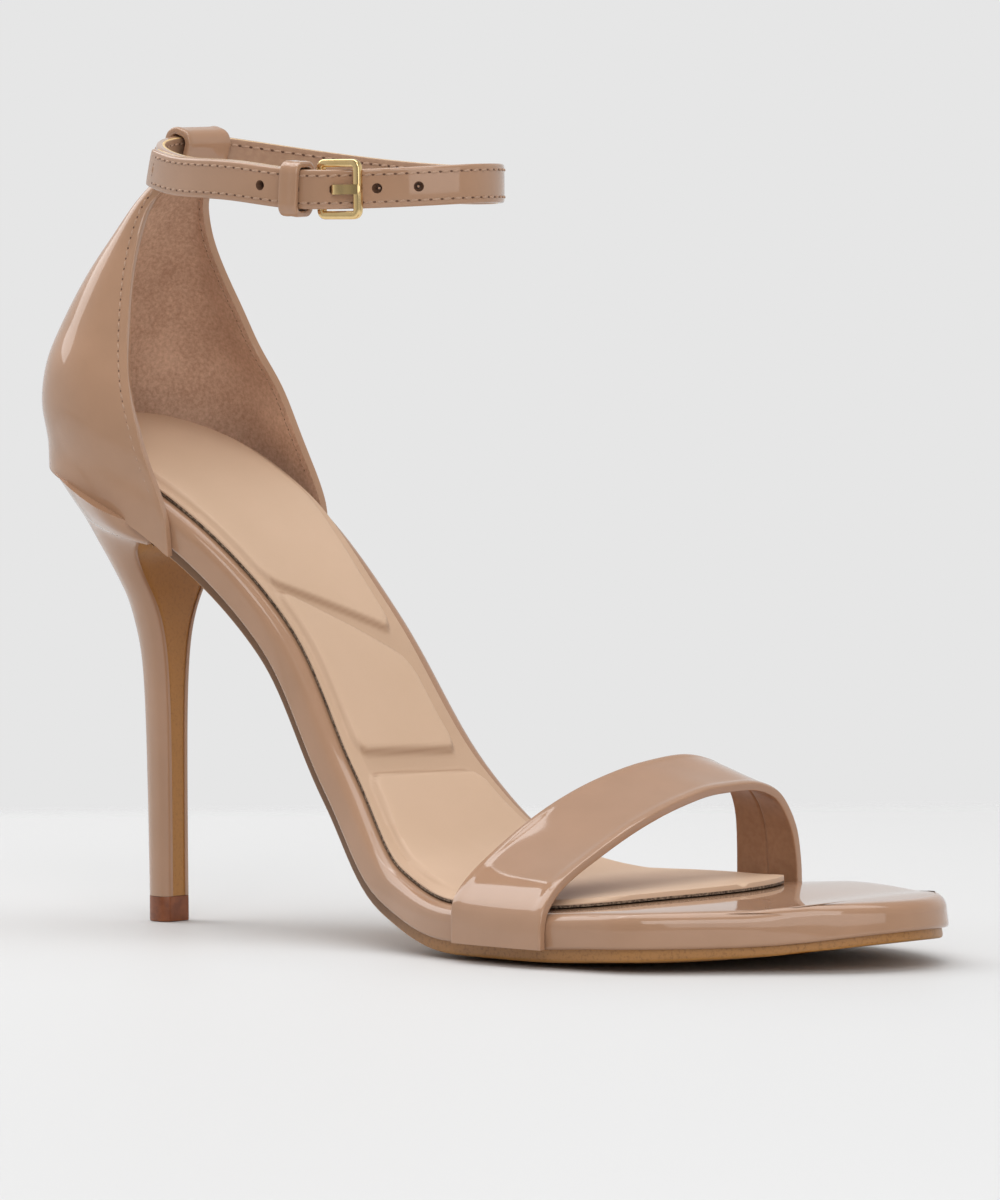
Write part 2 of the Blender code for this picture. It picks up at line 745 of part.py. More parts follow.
def ankle_frame(angle):
    """Outward, forward and upward directions of the strap at an angle."""
    forward = (ankle_centre(angle - 0.5) - ankle_centre(angle + 0.5)).normalized()
    lean = math.radians(LOOP_LEAN) * max(-math.cos(math.radians(angle)), 0.0) ** 3
    upright = Vector((math.sin(lean), 0.0, math.cos(lean)))
    out = forward.cross(upright).normalized()
    return out, forward, out.cross(forward)


def ankle_place(angle, offset, rise):
    """Point beside the strap's middle line, by an offset outward and a rise upward."""
    out, _, upright = ankle_frame(angle)
    return ankle_centre(angle) + out * offset + upright * rise


LAYER = STRAP_THICK + GAP
BACK_ANGLE = 180.0
PIVOT_ANGLE = 63.4
KEEPER_ANGLE = 70.8
HOLE_ANGLE = 57.6
TIP_ANGLE = 134.0
LIFT_OFF = 42.0


def layer_offset(angle):
    """How far the strap's free end lies outside the layer that it passes over."""
    part = min(max((angle - 360.0 - LIFT_OFF) / (PIVOT_ANGLE - LIFT_OFF), 0.0), 1.0)
    return LAYER * part * part * (3.0 - 2.0 * part)


def angle_along(angle, distance):
    """Angle reached after going a distance along the oval."""
    step = 0.25 if distance > 0.0 else -0.25
    gone = 0.0
    while gone < abs(distance):
        here = ankle_centre(angle)
        angle += step
        gone += (ankle_centre(angle) - here).length
    return angle


def add_ankle_strap(group, origin, material, cutters):
    """The ankle strap: from the buckle round the back and the front to its free tip."""
    start = angle_along(PIVOT_ANGLE, 0.5 * BUCKLE_BAR + GAP)
    end = 360.0 + TIP_ANGLE
    count = 74

    def place(s, t, w):
        angle = start + (end - start) * s
        tip = max((s - (count - 2.0) / count) * count / 2.0, 0.0)
        angle += 4.0 * tip * (0.5 - t)
        rise = (t - 0.5) * STRAP_WIDTH
        offset = layer_offset(angle) + (w - 0.5) * STRAP_THICK
        return ankle_place(angle, offset, rise)

    strap = bent_box("ankle_strap", (count - 1, 0, 0), place, group, origin, material)
    add_bevel(strap, 0.3, 1)
    for index in range(HOLE_COUNT):
        away = (index - PRONG_HOLE) * HOLE_PITCH
        add_hole(strap, away, index, cutters, origin)
    return strap


def add_hole(strap, away, index, cutters, origin):
    """Punch one round hole through the strap's free end."""
    angle = angle_along(HOLE_ANGLE, away)
    out = ankle_frame(angle)[0]
    centre = ankle_place(angle, layer_offset(angle + 360.0), 0.0)
    tool = bmesh.new()
    bmesh.ops.create_cone(tool, cap_ends=True, segments=10, radius1=0.5 * HOLE_DIAMETER * MM,
                          radius2=0.5 * HOLE_DIAMETER * MM, depth=(STRAP_THICK + 0.4) * MM)
    mesh = bpy.data.meshes.new("punch")
    tool.to_mesh(mesh)
    tool.free()
    punch = bpy.data.objects.new(f"punch_{index + 1}", mesh)
    cutters.objects.link(punch)
    punch.parent = origin
    punch.location = centre * MM
    punch.rotation_mode = "QUATERNION"
    punch.rotation_quaternion = out.to_track_quat("Z", "Y")
    punch.hide_render = True
    punch.display_type = "WIRE"
    cut = strap.modifiers.new(f"hole_{index + 1}", "BOOLEAN")
    cut.operation = "DIFFERENCE"
    cut.solver = "EXACT"
    cut.object = punch


def rounded_loop(half_x, half_y, radius, steps=3):
    """Points round a rectangle with rounded corners."""
    points = []
    for corner_x, corner_y, start in ((1, 1, 0), (-1, 1, 90), (-1, -1, 180), (1, -1, 270)):
        for step in range(steps + 1):
            angle = math.radians(start + 90.0 * step / steps)
            points.append((
                corner_x * (half_x - radius) + radius * math.cos(angle),
                corner_y * (half_y - radius) + radius * math.sin(angle),
            ))
    return points


def add_band(name, centre, axes, half_thick, half_tall, length, wall, group, origin, material):
    """A closed leather band with rounded corners, round an axis with its two cross ways."""
    axis, across, upright = axes
    rings = ([], [])
    band = bmesh.new()
    for ring, side in zip(rings, (-0.5, 0.5)):
        for thick, tall in rounded_loop(half_thick, half_tall, 0.5):
            place = centre + axis * length * side + across * thick + upright * tall
            ring.append(band.verts.new(place * MM))
    count = len(rings[0])
    for index in range(count):
        after = (index + 1) % count
        corners = (rings[0][index], rings[0][after], rings[1][after], rings[1][index])
        band.faces.new(corners)
    band.normal_update()
    inward = sum(face.normal.dot(face.calc_center_median() - centre * MM) for face in band.faces)
    if inward < 0.0:
        bmesh.ops.reverse_faces(band, faces=band.faces[:])
    mesh = bpy.data.meshes.new(name)
    band.to_mesh(mesh)
    band.free()
    thing = new_object(name, mesh, group, origin, material)
    wall_maker = thing.modifiers.new("wall", "SOLIDIFY")
    wall_maker.thickness = wall * MM
    wall_maker.offset = 1.0
    wall_maker.use_even_offset = True
    add_bevel(thing, 0.35, 1)
    return thing


def add_loop(group, origin, material):
    """The patent loop on the counter's top that holds the ankle strap."""
    out, forward, upright = ankle_frame(BACK_ANGLE)
    middle = ankle_centre(BACK_ANGLE)
    bend = 0.0
    for side in (-0.5, 0.5):
        reach = angle_along(BACK_ANGLE, side * (LOOP_LENGTH + STRAP_THICK))
        bend = max(bend, (ankle_centre(reach) - middle).dot(-out))
    half_thick = 0.5 * (STRAP_THICK + bend) + SLIDE_GAP
    half_tall = 0.5 * STRAP_WIDTH + SLIDE_GAP
    centre = middle - out * 0.5 * bend
    return add_band("strap_loop", centre, (forward, out, upright), half_thick, half_tall,
                    LOOP_LENGTH, LOOP_WALL, group, origin, material)


def add_keeper(group, origin, material):
    """The keeper that holds the strap's free end down, behind the buckle."""
    out, forward, upright = ankle_frame(KEEPER_ANGLE)
    centre = ankle_place(KEEPER_ANGLE, 0.5 * LAYER, 0.0)
    half_thick = 0.5 * (LAYER + STRAP_THICK) + SLIDE_GAP
    half_tall = 0.5 * STRAP_WIDTH + SLIDE_GAP
    return add_band("keeper", centre, (forward, out, upright), half_thick, half_tall,
                    KEEPER_BAND, KEEPER_WALL, group, origin, material)


def add_wire(name, points, thickness, closed, group, origin, material):
    """A round wire along a route, as a mesh whose end caps are welded on."""
    data = bpy.data.curves.new(name, "CURVE")
    data.dimensions = "3D"
    data.bevel_depth = 0.5 * thickness * MM
    data.bevel_resolution = 1
    data.use_fill_caps = not closed
    spline = data.splines.new("POLY")
    spline.points.add(len(points) - 1)
    for target, point in zip(spline.points, points):
        target.co = (*(Vector(point) * MM), 1.0)
    spline.use_cyclic_u = closed
    guide = bpy.data.objects.new(name + "_route", data)
    bpy.context.scene.collection.objects.link(guide)
    bpy.context.view_layer.update()
    view = guide.evaluated_get(bpy.context.evaluated_depsgraph_get())
    mesh = bpy.data.meshes.new_from_object(view)
    bpy.data.objects.remove(guide, do_unlink=True)
    shape = bmesh.new()
    shape.from_mesh(mesh)
    bmesh.ops.remove_doubles(shape, verts=shape.verts[:], dist=0.00001)
    bmesh.ops.recalc_face_normals(shape, faces=shape.faces[:])
    shape.to_mesh(mesh)
    shape.free()
    mesh.materials.clear()
    mesh.shade_smooth()
    return new_object(name, mesh, group, origin, material)


def buckle_span():
    """Middle points of the pivot bar, under the free end, and of the front bar, over it."""
    front = angle_along(PIVOT_ANGLE, -(BUCKLE_LENGTH - BUCKLE_BAR))
    over = layer_offset(front + 360.0) + 0.5 * STRAP_THICK + GAP + 0.5 * BUCKLE_BAR + 0.15
    return ankle_place(PIVOT_ANGLE, 0.0, 0.0), ankle_place(front, over, 0.0), front, over


def add_buckle(group, origin, material):
    """The buckle's frame: a rounded rectangle of gilt wire."""
    pivot, front, _, _ = buckle_span()
    lengthwise = (front - pivot).normalized()
    upright = ankle_frame(PIVOT_ANGLE)[2]
    half_tall = 0.5 * STRAP_WIDTH + SLIDE_GAP + 0.5 * BUCKLE_BAR
    half_long = 0.5 * (front - pivot).length
    centre = (front + pivot) * 0.5
    route = []
    for along, tall in rounded_loop(half_long, half_tall, 1.4):
        route.append(centre + lengthwise * along + upright * tall)
    return add_wire("buckle_frame", route, BUCKLE_BAR, True, group, origin, material)


def add_prong(group, origin, material):
    """The prong: from the pivot bar, through the middle hole and onto the front bar."""
    _, _, front, over = buckle_span()
    outer = layer_offset(HOLE_ANGLE + 360.0)
    rest = over + 0.5 * (BUCKLE_BAR + PRONG_WIRE) + GAP
    top = outer + 0.5 * STRAP_THICK + GAP + 0.5 * PRONG_WIRE
    low = outer - 0.5 * STRAP_THICK - GAP - 0.5 * PRONG_WIRE
    start = angle_along(PIVOT_ANGLE, -(0.5 * (BUCKLE_BAR + PRONG_WIRE) + GAP))
    route = (
        ankle_place(start, low - 0.1, 0.0),
        ankle_place(0.5 * (start + HOLE_ANGLE), low - 0.1, 0.0),
        ankle_place(HOLE_ANGLE + 0.6, low + 0.1, 0.0),
        ankle_place(HOLE_ANGLE + 0.1, outer - 0.5, 0.0),
        ankle_place(HOLE_ANGLE - 0.1, outer + 0.6, 0.0),
        ankle_place(HOLE_ANGLE - 0.8, top + 0.1, 0.0),
        ankle_place(0.45 * HOLE_ANGLE + 0.55 * front, 0.4 * top + 0.6 * rest, 0.0),
        ankle_place(front + 0.6, rest + 0.02, 0.0),
        ankle_place(front - 1.4, rest - 0.02, 0.0),
    )
    return add_wire("buckle_prong", route, PRONG_WIRE, False, group, origin, material)


def seat_on_floor(origin):
    """Move the common origin so that the shoe's box stands centred on the world's origin."""
    bpy.context.view_layer.update()
    scene = bpy.context.evaluated_depsgraph_get()
    low = Vector((math.inf, math.inf, math.inf))
    high = -low
    for thing in origin.children:
        if thing.display_type == "WIRE":
            continue
        view = thing.evaluated_get(scene)
        mesh = view.to_mesh()
        for vertex in mesh.vertices:
            place = view.matrix_world @ vertex.co
            for axis in range(3):
                low[axis] = min(low[axis], place[axis])
                high[axis] = max(high[axis], place[axis])
        view.to_mesh_clear()
    origin.location = (-0.5 * (low.x + high.x), -0.5 * (low.y + high.y), -low.z)
    print("box", [round(value * 1000.0, 2) for value in (*low, *high)])


def build():
    """Make every piece of the sandal."""
    clear_scene()
    sandal = new_collection("strappy_heeled_sandal")
    cutters = new_collection("cutters")
    origin = bpy.data.objects.new("sandal_origin", None)
    sandal.objects.link(origin)
    patent = new_material("patent_leather", (0.435, 0.270, 0.180), 0.12, coat=0.6)
    sock = new_material("sock_leather", (0.640, 0.465, 0.325), 0.45)
    sole = new_material("sole_leather", (0.390, 0.190, 0.070), 0.40)
    rubber = new_material("lift_rubber", (0.170, 0.050, 0.015), 0.50)
    gold = new_material("gilt_metal", (0.690, 0.500, 0.200), 0.15, metallic=1.0)
    add_outsole(sandal, origin, sole)
    add_rim(sandal, origin, patent)
    add_sock(sandal, origin, sock)
    add_counter(sandal, origin, patent)
    add_vamp(sandal, origin, patent)
    add_heel(sandal, origin, patent)
    add_breast(sandal, origin, sole)
    add_lift(sandal, origin, rubber)
    add_loop(sandal, origin, patent)
    add_ankle_strap(sandal, origin, patent, cutters)
    add_keeper(sandal, origin, patent)
    add_buckle(sandal, origin, gold)
    add_prong(sandal, origin, gold)
    seat_on_floor(origin)


build()
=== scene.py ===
# %% [markdown]
# # A strappy heeled sandal, dressed for the camera
# The CAD model gives every piece its place. This lesson builds the same sandal again with
# the detail of the real one: patent wrapping, a padded sock, suede lining, stitching and a
# gilt buckle. Lengths are in millimetres while a piece is shaped, as on a maker's bench,
# and are turned to metres when its points are placed.

# %% Load the frame
import math

import bmesh
import bpy
from mathutils import Matrix, Vector


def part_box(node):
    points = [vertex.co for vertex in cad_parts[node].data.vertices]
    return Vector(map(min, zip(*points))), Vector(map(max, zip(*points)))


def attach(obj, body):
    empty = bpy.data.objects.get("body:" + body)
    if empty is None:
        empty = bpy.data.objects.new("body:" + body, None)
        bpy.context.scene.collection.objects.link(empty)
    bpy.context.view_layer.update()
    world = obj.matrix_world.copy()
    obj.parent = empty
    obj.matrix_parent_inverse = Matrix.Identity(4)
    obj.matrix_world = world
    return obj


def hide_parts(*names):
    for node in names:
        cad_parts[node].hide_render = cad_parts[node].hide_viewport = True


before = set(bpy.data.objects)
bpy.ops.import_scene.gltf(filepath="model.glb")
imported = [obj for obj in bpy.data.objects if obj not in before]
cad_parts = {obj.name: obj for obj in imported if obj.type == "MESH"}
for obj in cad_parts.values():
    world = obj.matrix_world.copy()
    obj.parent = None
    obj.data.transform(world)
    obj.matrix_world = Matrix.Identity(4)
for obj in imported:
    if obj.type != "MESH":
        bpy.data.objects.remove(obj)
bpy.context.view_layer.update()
scene = bpy.context.scene

# %% [markdown]
# ## The camera
# The photograph is taken from the toe side of the outer quarter, a little above the floor,
# with a long lens. A long lens keeps the heel and the toe at nearly the same scale, so the
# camera stands more than two metres away. It comes first, because every look is judged by it.

# %% The camera
MM = 0.001
AZIMUTH = math.radians(41.666)
ELEVATION = math.radians(3.345)
ROLL = math.radians(-0.38)
DISTANCE = 2.3464
AIM = Vector((0.00439, -0.00039, 0.06985))
LENS = 346.7

flat_length = math.cos(ELEVATION)
back = Vector((math.sin(AZIMUTH) * flat_length, -math.cos(AZIMUTH) * flat_length, math.sin(ELEVATION)))
flat_right = Vector((math.cos(AZIMUTH), math.sin(AZIMUTH), 0.0))
flat_up = back.cross(flat_right)
cam_right = flat_right * math.cos(ROLL) + flat_up * math.sin(ROLL)
cam_up = flat_up * math.cos(ROLL) - flat_right * math.sin(ROLL)
lens_data = bpy.data.cameras.new("camera")
lens_data.lens = LENS
lens_data.sensor_width = 36.0
lens_data.sensor_fit = "AUTO"
lens_data.clip_end = 50.0
camera = bpy.data.objects.new("camera", lens_data)
scene.collection.objects.link(camera)
turn = Matrix((cam_right, cam_up, back)).transposed().to_4x4()
camera.matrix_world = Matrix.Translation(AIM + back * DISTANCE) @ turn
scene.camera = camera
print("camera at", [round(v, 3) for v in camera.location])

# %% [markdown]
# ## Small helpers
# One function turns a hex colour to the linear values that Blender works in, and one adds a
# node with its settings and links. The others select, cut and finish a mesh. Every piece of
# this sandal is a sheet or a block that is bent round the foot, so each one starts as a cube
# that is cut into a fine grid, and its points are then carried to their places on the last.

# %% Helpers for colours and nodes
def colour(code):
    """Linear colour of an sRGB hex code."""
    values = []
    for index in (1, 3, 5):
        part = int(code[index:index + 2], 16) / 255.0
        values.append(part / 12.92 if part <= 0.04045 else ((part + 0.055) / 1.055) ** 2.4)
    return (*values, 1.0)


def add(tree, kind, inputs=None, **settings):
    """Add a node. inputs gives a value, or another node's output, for each named socket."""
    node = tree.nodes.new(kind)
    for name, value in settings.items():
        setattr(node, name, value)
    for name, value in (inputs or {}).items():
        socket = node.inputs[name]
        if isinstance(value, bpy.types.NodeSocket):
            tree.links.new(value, socket)
        else:
            socket.default_value = value
    return node


def finish_of(name):
    """A new material with its tree, its shader and its object coordinates."""
    material = bpy.data.materials.new(name)
    material.use_nodes = True
    tree = material.node_tree
    shader = tree.nodes["Principled BSDF"]
    place = add(tree, "ShaderNodeTexCoord").outputs["Object"]
    return material, tree, shader, place


# %% Helpers for meshes
def only(thing):
    """Select one object and make it active."""
    bpy.ops.object.select_all(action="DESELECT")
    thing.select_set(True)
    bpy.context.view_layer.objects.active = thing


def cut_cube(name, cuts):
    """A unit cube cut into a grid: so many cuts along each of its three axes."""
    bpy.ops.object.select_all(action="DESELECT")
    bpy.ops.mesh.primitive_cube_add(size=1.0)
    cube = bpy.context.object
    cube.name = name
    cube.data.name = name
    bpy.context.tool_settings.mesh_select_mode = (False, True, False)
    for axis, count in enumerate(cuts):
        # One subdivision makes 100 cuts at most, so a longer row is cut in two rounds.
        share = next(k for k in (1, 2, 3, 4) if (count + 1) % k == 0 and (count + 1) / k <= 100)
        for number in ((count + 1) // share - 1, share - 1):
            if number < 1:
                continue
            points = cube.data.vertices
            for face in cube.data.polygons:
                face.select = False
            for point in points:
                point.select = False
            for edge in cube.data.edges:
                apart = points[edge.vertices[0]].co - points[edge.vertices[1]].co
                edge.select = abs(apart[axis]) > 0.99 * apart.length
            bpy.ops.object.mode_set(mode="EDIT")
            bpy.ops.mesh.subdivide(number_cuts=number)
            bpy.ops.object.mode_set(mode="OBJECT")
    return cube


def mark_edges(mesh, shares, soften):
    """Give each edge its bevel weight, from the shares of its two ends."""
    weights = mesh.attributes.new("bevel_weight_edge", "FLOAT", "EDGE")
    for edge, weight in zip(mesh.edges, weights.data):
        weight.value = soften(shares[edge.vertices[0]], shares[edge.vertices[1]])


def face_outwards(thing):
    """Turn a closed mesh's faces outwards: inside out, its volume is negative."""
    shell = bmesh.new()
    shell.from_mesh(thing.data)
    turned = shell.calc_volume(signed=True) < 0.0
    shell.free()
    if turned:
        only(thing)
        bpy.ops.object.mode_set(mode="EDIT")
        bpy.ops.mesh.select_all(action="SELECT")
        bpy.ops.mesh.flip_normals()
        bpy.ops.object.mode_set(mode="OBJECT")


def carry(thing, place, soften, paint=None):
    """Carry each point of a cut cube to place(s, t, w), from its three shares, in millimetres."""
    mesh = thing.data
    shares = [tuple(round(value + 0.5, 6) for value in point.co) for point in mesh.vertices]
    mark_edges(mesh, shares, soften)
    if paint:
        for face in mesh.polygons:
            middle = [sum(shares[v][axis] for v in face.vertices) / len(face.vertices) for axis in range(3)]
            face.material_index = paint(*middle)
    for point, share in zip(mesh.vertices, shares):
        point.co = to_row(place(*share))
    face_outwards(thing)
    return shares


def round_edges(thing, width, segments, clamp=True):
    """Bevel the marked edges by a width in millimetres."""
    only(thing)
    bevel = thing.modifiers.new("rounded", "BEVEL")
    bevel.width = width * MM
    bevel.segments = segments
    bevel.limit_method = "WEIGHT"
    bevel.use_clamp_overlap = clamp
    bpy.ops.object.modifier_apply(modifier=bevel.name)


def finish(thing, materials, node, width=0.0, segments=2, angle=40.0, clamp=True):
    """Round the marked edges, give the piece its finish and let it stand for its solid."""
    for material in materials:
        thing.data.materials.append(material)
    if width > 0.0:
        round_edges(thing, width, segments, clamp)
    only(thing)
    bpy.ops.object.shade_smooth_by_angle(angle=math.radians(angle))
    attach(thing, "root")
    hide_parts(node)
    triangles = sum(len(face.vertices) - 2 for face in thing.data.polygons)
    low = [min(point.co[axis] for point in thing.data.vertices) for axis in range(3)]
    high = [max(point.co[axis] for point in thing.data.vertices) for axis in range(3)]
    node_low, node_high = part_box(node)
    apart = [round((a - b) / MM, 1) for a, b in zip((*low, *high), (*node_low, *node_high))]
    print(f"{thing.name}: {triangles} triangles, corners apart from the solid by {apart} mm")


def on_face(first, second, axis, value):
    """True where an edge lies on one face of the cut cube."""
    return abs(first[axis] - value) < 1e-4 and abs(second[axis] - value) < 1e-4


def outline(first, second, side):
    """True on the outline of a plate's upper (side 1) or lower (side 0) face."""
    return on_face(first, second, 2, side) and any(
        on_face(first, second, axis, value) for axis in (0, 1) for value in (0.0, 1.0))


# %% [markdown]
# ## The last
# A shoemaker builds a shoe on a last, a block in the shape of a foot. Here it is a side
# profile, a plan outline and a crowned tread, each read from a few sections with a smooth
# curve between them. All pieces follow these same functions, so they lie on each other.
# A curve through a few sections still has small kinks, and patent leather would show them
# as bends in its reflections, so a short running mean takes them out.

# %% Sizes of the last
LENGTH = 214.4
SEAT_HEIGHT = 104.4
BALL_HALF = 38.9
TOE_SPRING = 4.2
SEAT_ROUND = 26.0
TOE_ROUND = 46.0
CROWN = 1.1
SIDE_LIFT = 1.5
RIM_THICK = 7.0
OUTSOLE_THICK = 2.3
OUTSOLE_INSET = 1.5
TREAD_LIFT = 1.0
GAP = 0.3
BALL_TOP = OUTSOLE_THICK + TREAD_LIFT + GAP + RIM_THICK
SHIFT = Vector((-104.85, 0.29, 0.0))

LAST = (
    dict(along=0.000, climb=1.000, spring=0.00, half=0.727, drift=-0.075),
    dict(along=0.082, climb=0.934, spring=0.00, half=0.647, drift=-0.046),
    dict(along=0.192, climb=0.802, spring=0.00, half=0.580, drift=-0.026),
    dict(along=0.305, climb=0.548, spring=0.00, half=0.507, drift=0.039),
    dict(along=0.396, climb=0.258, spring=0.00, half=0.573, drift=0.013),
    dict(along=0.492, climb=0.056, spring=0.00, half=0.760, drift=-0.013),
    dict(along=0.591, climb=0.000, spring=0.00, half=0.935, drift=-0.005),
    dict(along=0.694, climb=0.000, spring=0.00, half=1.000, drift=-0.008),
    dict(along=0.796, climb=0.000, spring=0.24, half=1.020, drift=0.005),
    dict(along=0.897, climb=0.000, spring=0.35, half=0.862, drift=0.100),
    dict(along=1.000, climb=0.000, spring=1.00, half=0.690, drift=0.147),
)


def to_row(place):
    """A place on the last in millimetres, as a point of the row frame in metres."""
    return (Vector(place) + SHIFT) * MM


def read(table, name, key, by):
    """Value of a named column, on a smooth curve through the table's rows."""
    keys = [row[by] for row in table]
    values = [row[name] for row in table]
    key = min(max(key, keys[0]), keys[-1])
    index = 0
    while index < len(keys) - 2 and key > keys[index + 1]:
        index += 1

    def steepness(place):
        if place in (0, len(keys) - 1):
            low = max(place - 1, 0)
            return (values[low + 1] - values[low]) / (keys[low + 1] - keys[low])
        before = (values[place] - values[place - 1]) / (keys[place] - keys[place - 1])
        after = (values[place + 1] - values[place]) / (keys[place + 1] - keys[place])
        return 0.0 if before * after <= 0.0 else 2.0 * before * after / (before + after)

    span = keys[index + 1] - keys[index]
    part = (key - keys[index]) / span
    start, end = values[index], values[index + 1]
    curve = part * part * (3.0 - 2.0 * part)
    return (start + (end - start) * curve + steepness(index) * span * part * (1.0 - part) ** 2
            - steepness(index + 1) * span * part * part * (1.0 - part))


MEAN = ((-2.0, 0.0625), (-1.0, 0.25), (0.0, 0.375), (1.0, 0.25), (2.0, 0.0625))


def eased(value, key, reach):
    """Running mean of a function round a key, so that its kinks are gone."""
    total = value(key) * 0.0
    for step, weight in MEAN:
        total += value(key + step * reach) * weight
    return total


def profile(x):
    """Height of the rim's upper edge at x, carried on straight past both ends."""
    inside = min(max(x, 0.0), LENGTH)
    height = BALL_TOP
    height += read(LAST, "climb", inside / LENGTH, "along") * (SEAT_HEIGHT - BALL_TOP)
    height += read(LAST, "spring", inside / LENGTH, "along") * TOE_SPRING
    if x != inside:
        step = 1.0 if x > inside else -1.0
        height += (height - profile(inside - step)) * abs(x - inside)
    return height


def ramp(value, low, high):
    """Smooth step from 0 at low to 1 at high."""
    part = min(max((value - low) / (high - low), 0.0), 1.0)
    return part * part * (3.0 - 2.0 * part)


PROFILE = {}


def rim_height(x):
    """The side profile without kinks, kept in steps of half a millimetre."""
    low = math.floor(x * 2.0)
    for index in (low, low + 1):
        if index not in PROFILE:
            PROFILE[index] = eased(profile, index * 0.5, 2.0)
    part = x * 2.0 - low
    return PROFILE[low] * (1.0 - part) + PROFILE[low + 1] * part


def rim_slope(x):
    """Steepness of the side profile."""
    return (rim_height(x + 1.0) - rim_height(x - 1.0)) / 2.0


def under_rim(x, depth):
    """Place (x, z) that lies depth below the rim's upper edge, square to the profile."""
    slope = rim_slope(x)
    size = math.hypot(1.0, slope)
    return x + slope * depth / size, rim_height(x) - depth / size


def drift(x):
    """How far the middle of the last lies to the inner side."""
    return read(LAST, "drift", x / LENGTH, "along") * BALL_HALF


def full_half(x):
    """Half width of the last before its ends are rounded."""
    return read(LAST, "half", x / LENGTH, "along") * BALL_HALF


def crown(x, t):
    """Height of the tread over its outer edge: a dome that leans up to the inner side."""
    ball = ramp(x / LENGTH, 0.42, 0.62)
    toe = min(max((x - (LENGTH - TOE_ROUND)) / TOE_ROUND, 0.0), 1.0)
    return ball * (CROWN * (1.0 - t * t) * (1.0 - toe * toe) + SIDE_LIFT * 0.5 * (1.0 + t) * (1.0 - toe))


CORNER = math.sqrt(0.5)


def arc_share(level):
    """Share of a rounded end left at a share of its half width, on a quarter circle."""
    return math.sqrt(max(1.0 - level ** 2, 0.0))


class Plan:
    """Outline of a plate seen from above, with a rounded back and front."""

    def __init__(self, back, front, back_round, front_round, inset):
        self.back, self.front = back, front
        self.back_round, self.front_round, self.inset = back_round, front_round, inset
        self.back_corner = back + back_round * (1.0 - arc_share(CORNER))
        self.front_corner = front - front_round * (1.0 - arc_share(CORNER))

    def half(self, x):
        """Half width at a station."""
        half = full_half(x) - self.inset(x)
        if x < self.back + self.back_round:
            half *= arc_share((self.back + self.back_round - x) / self.back_round)
        if x > self.front - self.front_round:
            half *= arc_share((x - self.front + self.front_round) / self.front_round)
        return half

    def place(self, s, t):
        """Point at s from back to front and t from -1 outside to +1 inside."""
        edge = self.back_corner + (self.front_corner - self.back_corner) * s
        x = edge
        bulge = arc_share(t * CORNER) - arc_share(CORNER)
        if s < 0.2:
            x -= self.back_round * bulge * (1.0 - s / 0.2) ** 2
        if s > 0.75:
            x += self.front_round * bulge * (1.0 - (1.0 - s) / 0.25) ** 2
        return x, drift(x) + t * self.half(edge)


print("height of the rim at seat, ball and toe", [round(rim_height(x), 1) for x in (0.0, 130.0, LENGTH)])

# %% [markdown]
# ## Patent leather
# The upper, the heel and the insole board are wrapped in patent leather: a soft cloth-backed
# sheet under a thick coat of clear polyurethane. The coat is what the eye reads, so the
# shader has a plain brown-pink base with a full coat of low roughness. The sheet is never
# quite flat, so long and short waves in the bump let its reflections wander.

# %% Patent leather
def patent_leather(name, base, deep, wave):
    """Coated leather. Its waves are about 9 mm apart and so deep in mm, its orange peel 1.1 mm apart."""
    material, tree, shader, place = finish_of(name)
    cloud = add(tree, "ShaderNodeTexNoise", {"Vector": place, "Scale": 90.0, "Detail": 3.0})
    tone = add(tree, "ShaderNodeValToRGB", {"Fac": cloud.outputs["Fac"]})
    tone.color_ramp.elements[0].position = 0.30
    tone.color_ramp.elements[0].color = colour(deep)
    tone.color_ramp.elements[1].position = 0.70
    tone.color_ramp.elements[1].color = colour(base)
    tree.links.new(tone.outputs["Color"], shader.inputs["Base Color"])
    long_wave = add(tree, "ShaderNodeTexNoise", {"Vector": place, "Scale": 110.0, "Detail": 1.0})
    long_bump = add(tree, "ShaderNodeBump", {
        "Height": long_wave.outputs["Fac"], "Strength": 0.5, "Distance": wave * MM})
    peel = add(tree, "ShaderNodeTexNoise", {"Vector": place, "Scale": 900.0, "Detail": 2.0})
    bump = add(tree, "ShaderNodeBump", {
        "Height": peel.outputs["Fac"], "Strength": 0.35, "Distance": 0.02 * MM,
        "Normal": long_bump.outputs["Normal"]})
    tree.links.new(bump.outputs["Normal"], shader.inputs["Normal"])
    shader.inputs["Roughness"].default_value = 0.45
    shader.inputs["Specular IOR Level"].default_value = 0.15
    shader.inputs["Coat Weight"].default_value = 1.0
    shader.inputs["Coat Roughness"].default_value = 0.06
    shader.inputs["Coat IOR"].default_value = 1.5
    return material


PATENT = patent_leather("patent_leather_nude", "#AE876B", "#A88266", 0.16)
PATENT_FLAT = patent_leather("patent_leather_on_board", "#AE876B", "#A88266", 0.08)
print("patent leather in two waves")

# %% [markdown]
# ## Sock leather, suede and sole leather
# The sock is a thin sheepskin with a faint grain, almost matt. The quarter is lined with a
# microfibre suede: short fibres that lie this way and that, so it shows darker and lighter
# clouds and a velvet sheen. The sole and the heel's breast are tan sole leather, with
# fine specks and a darker cut edge.

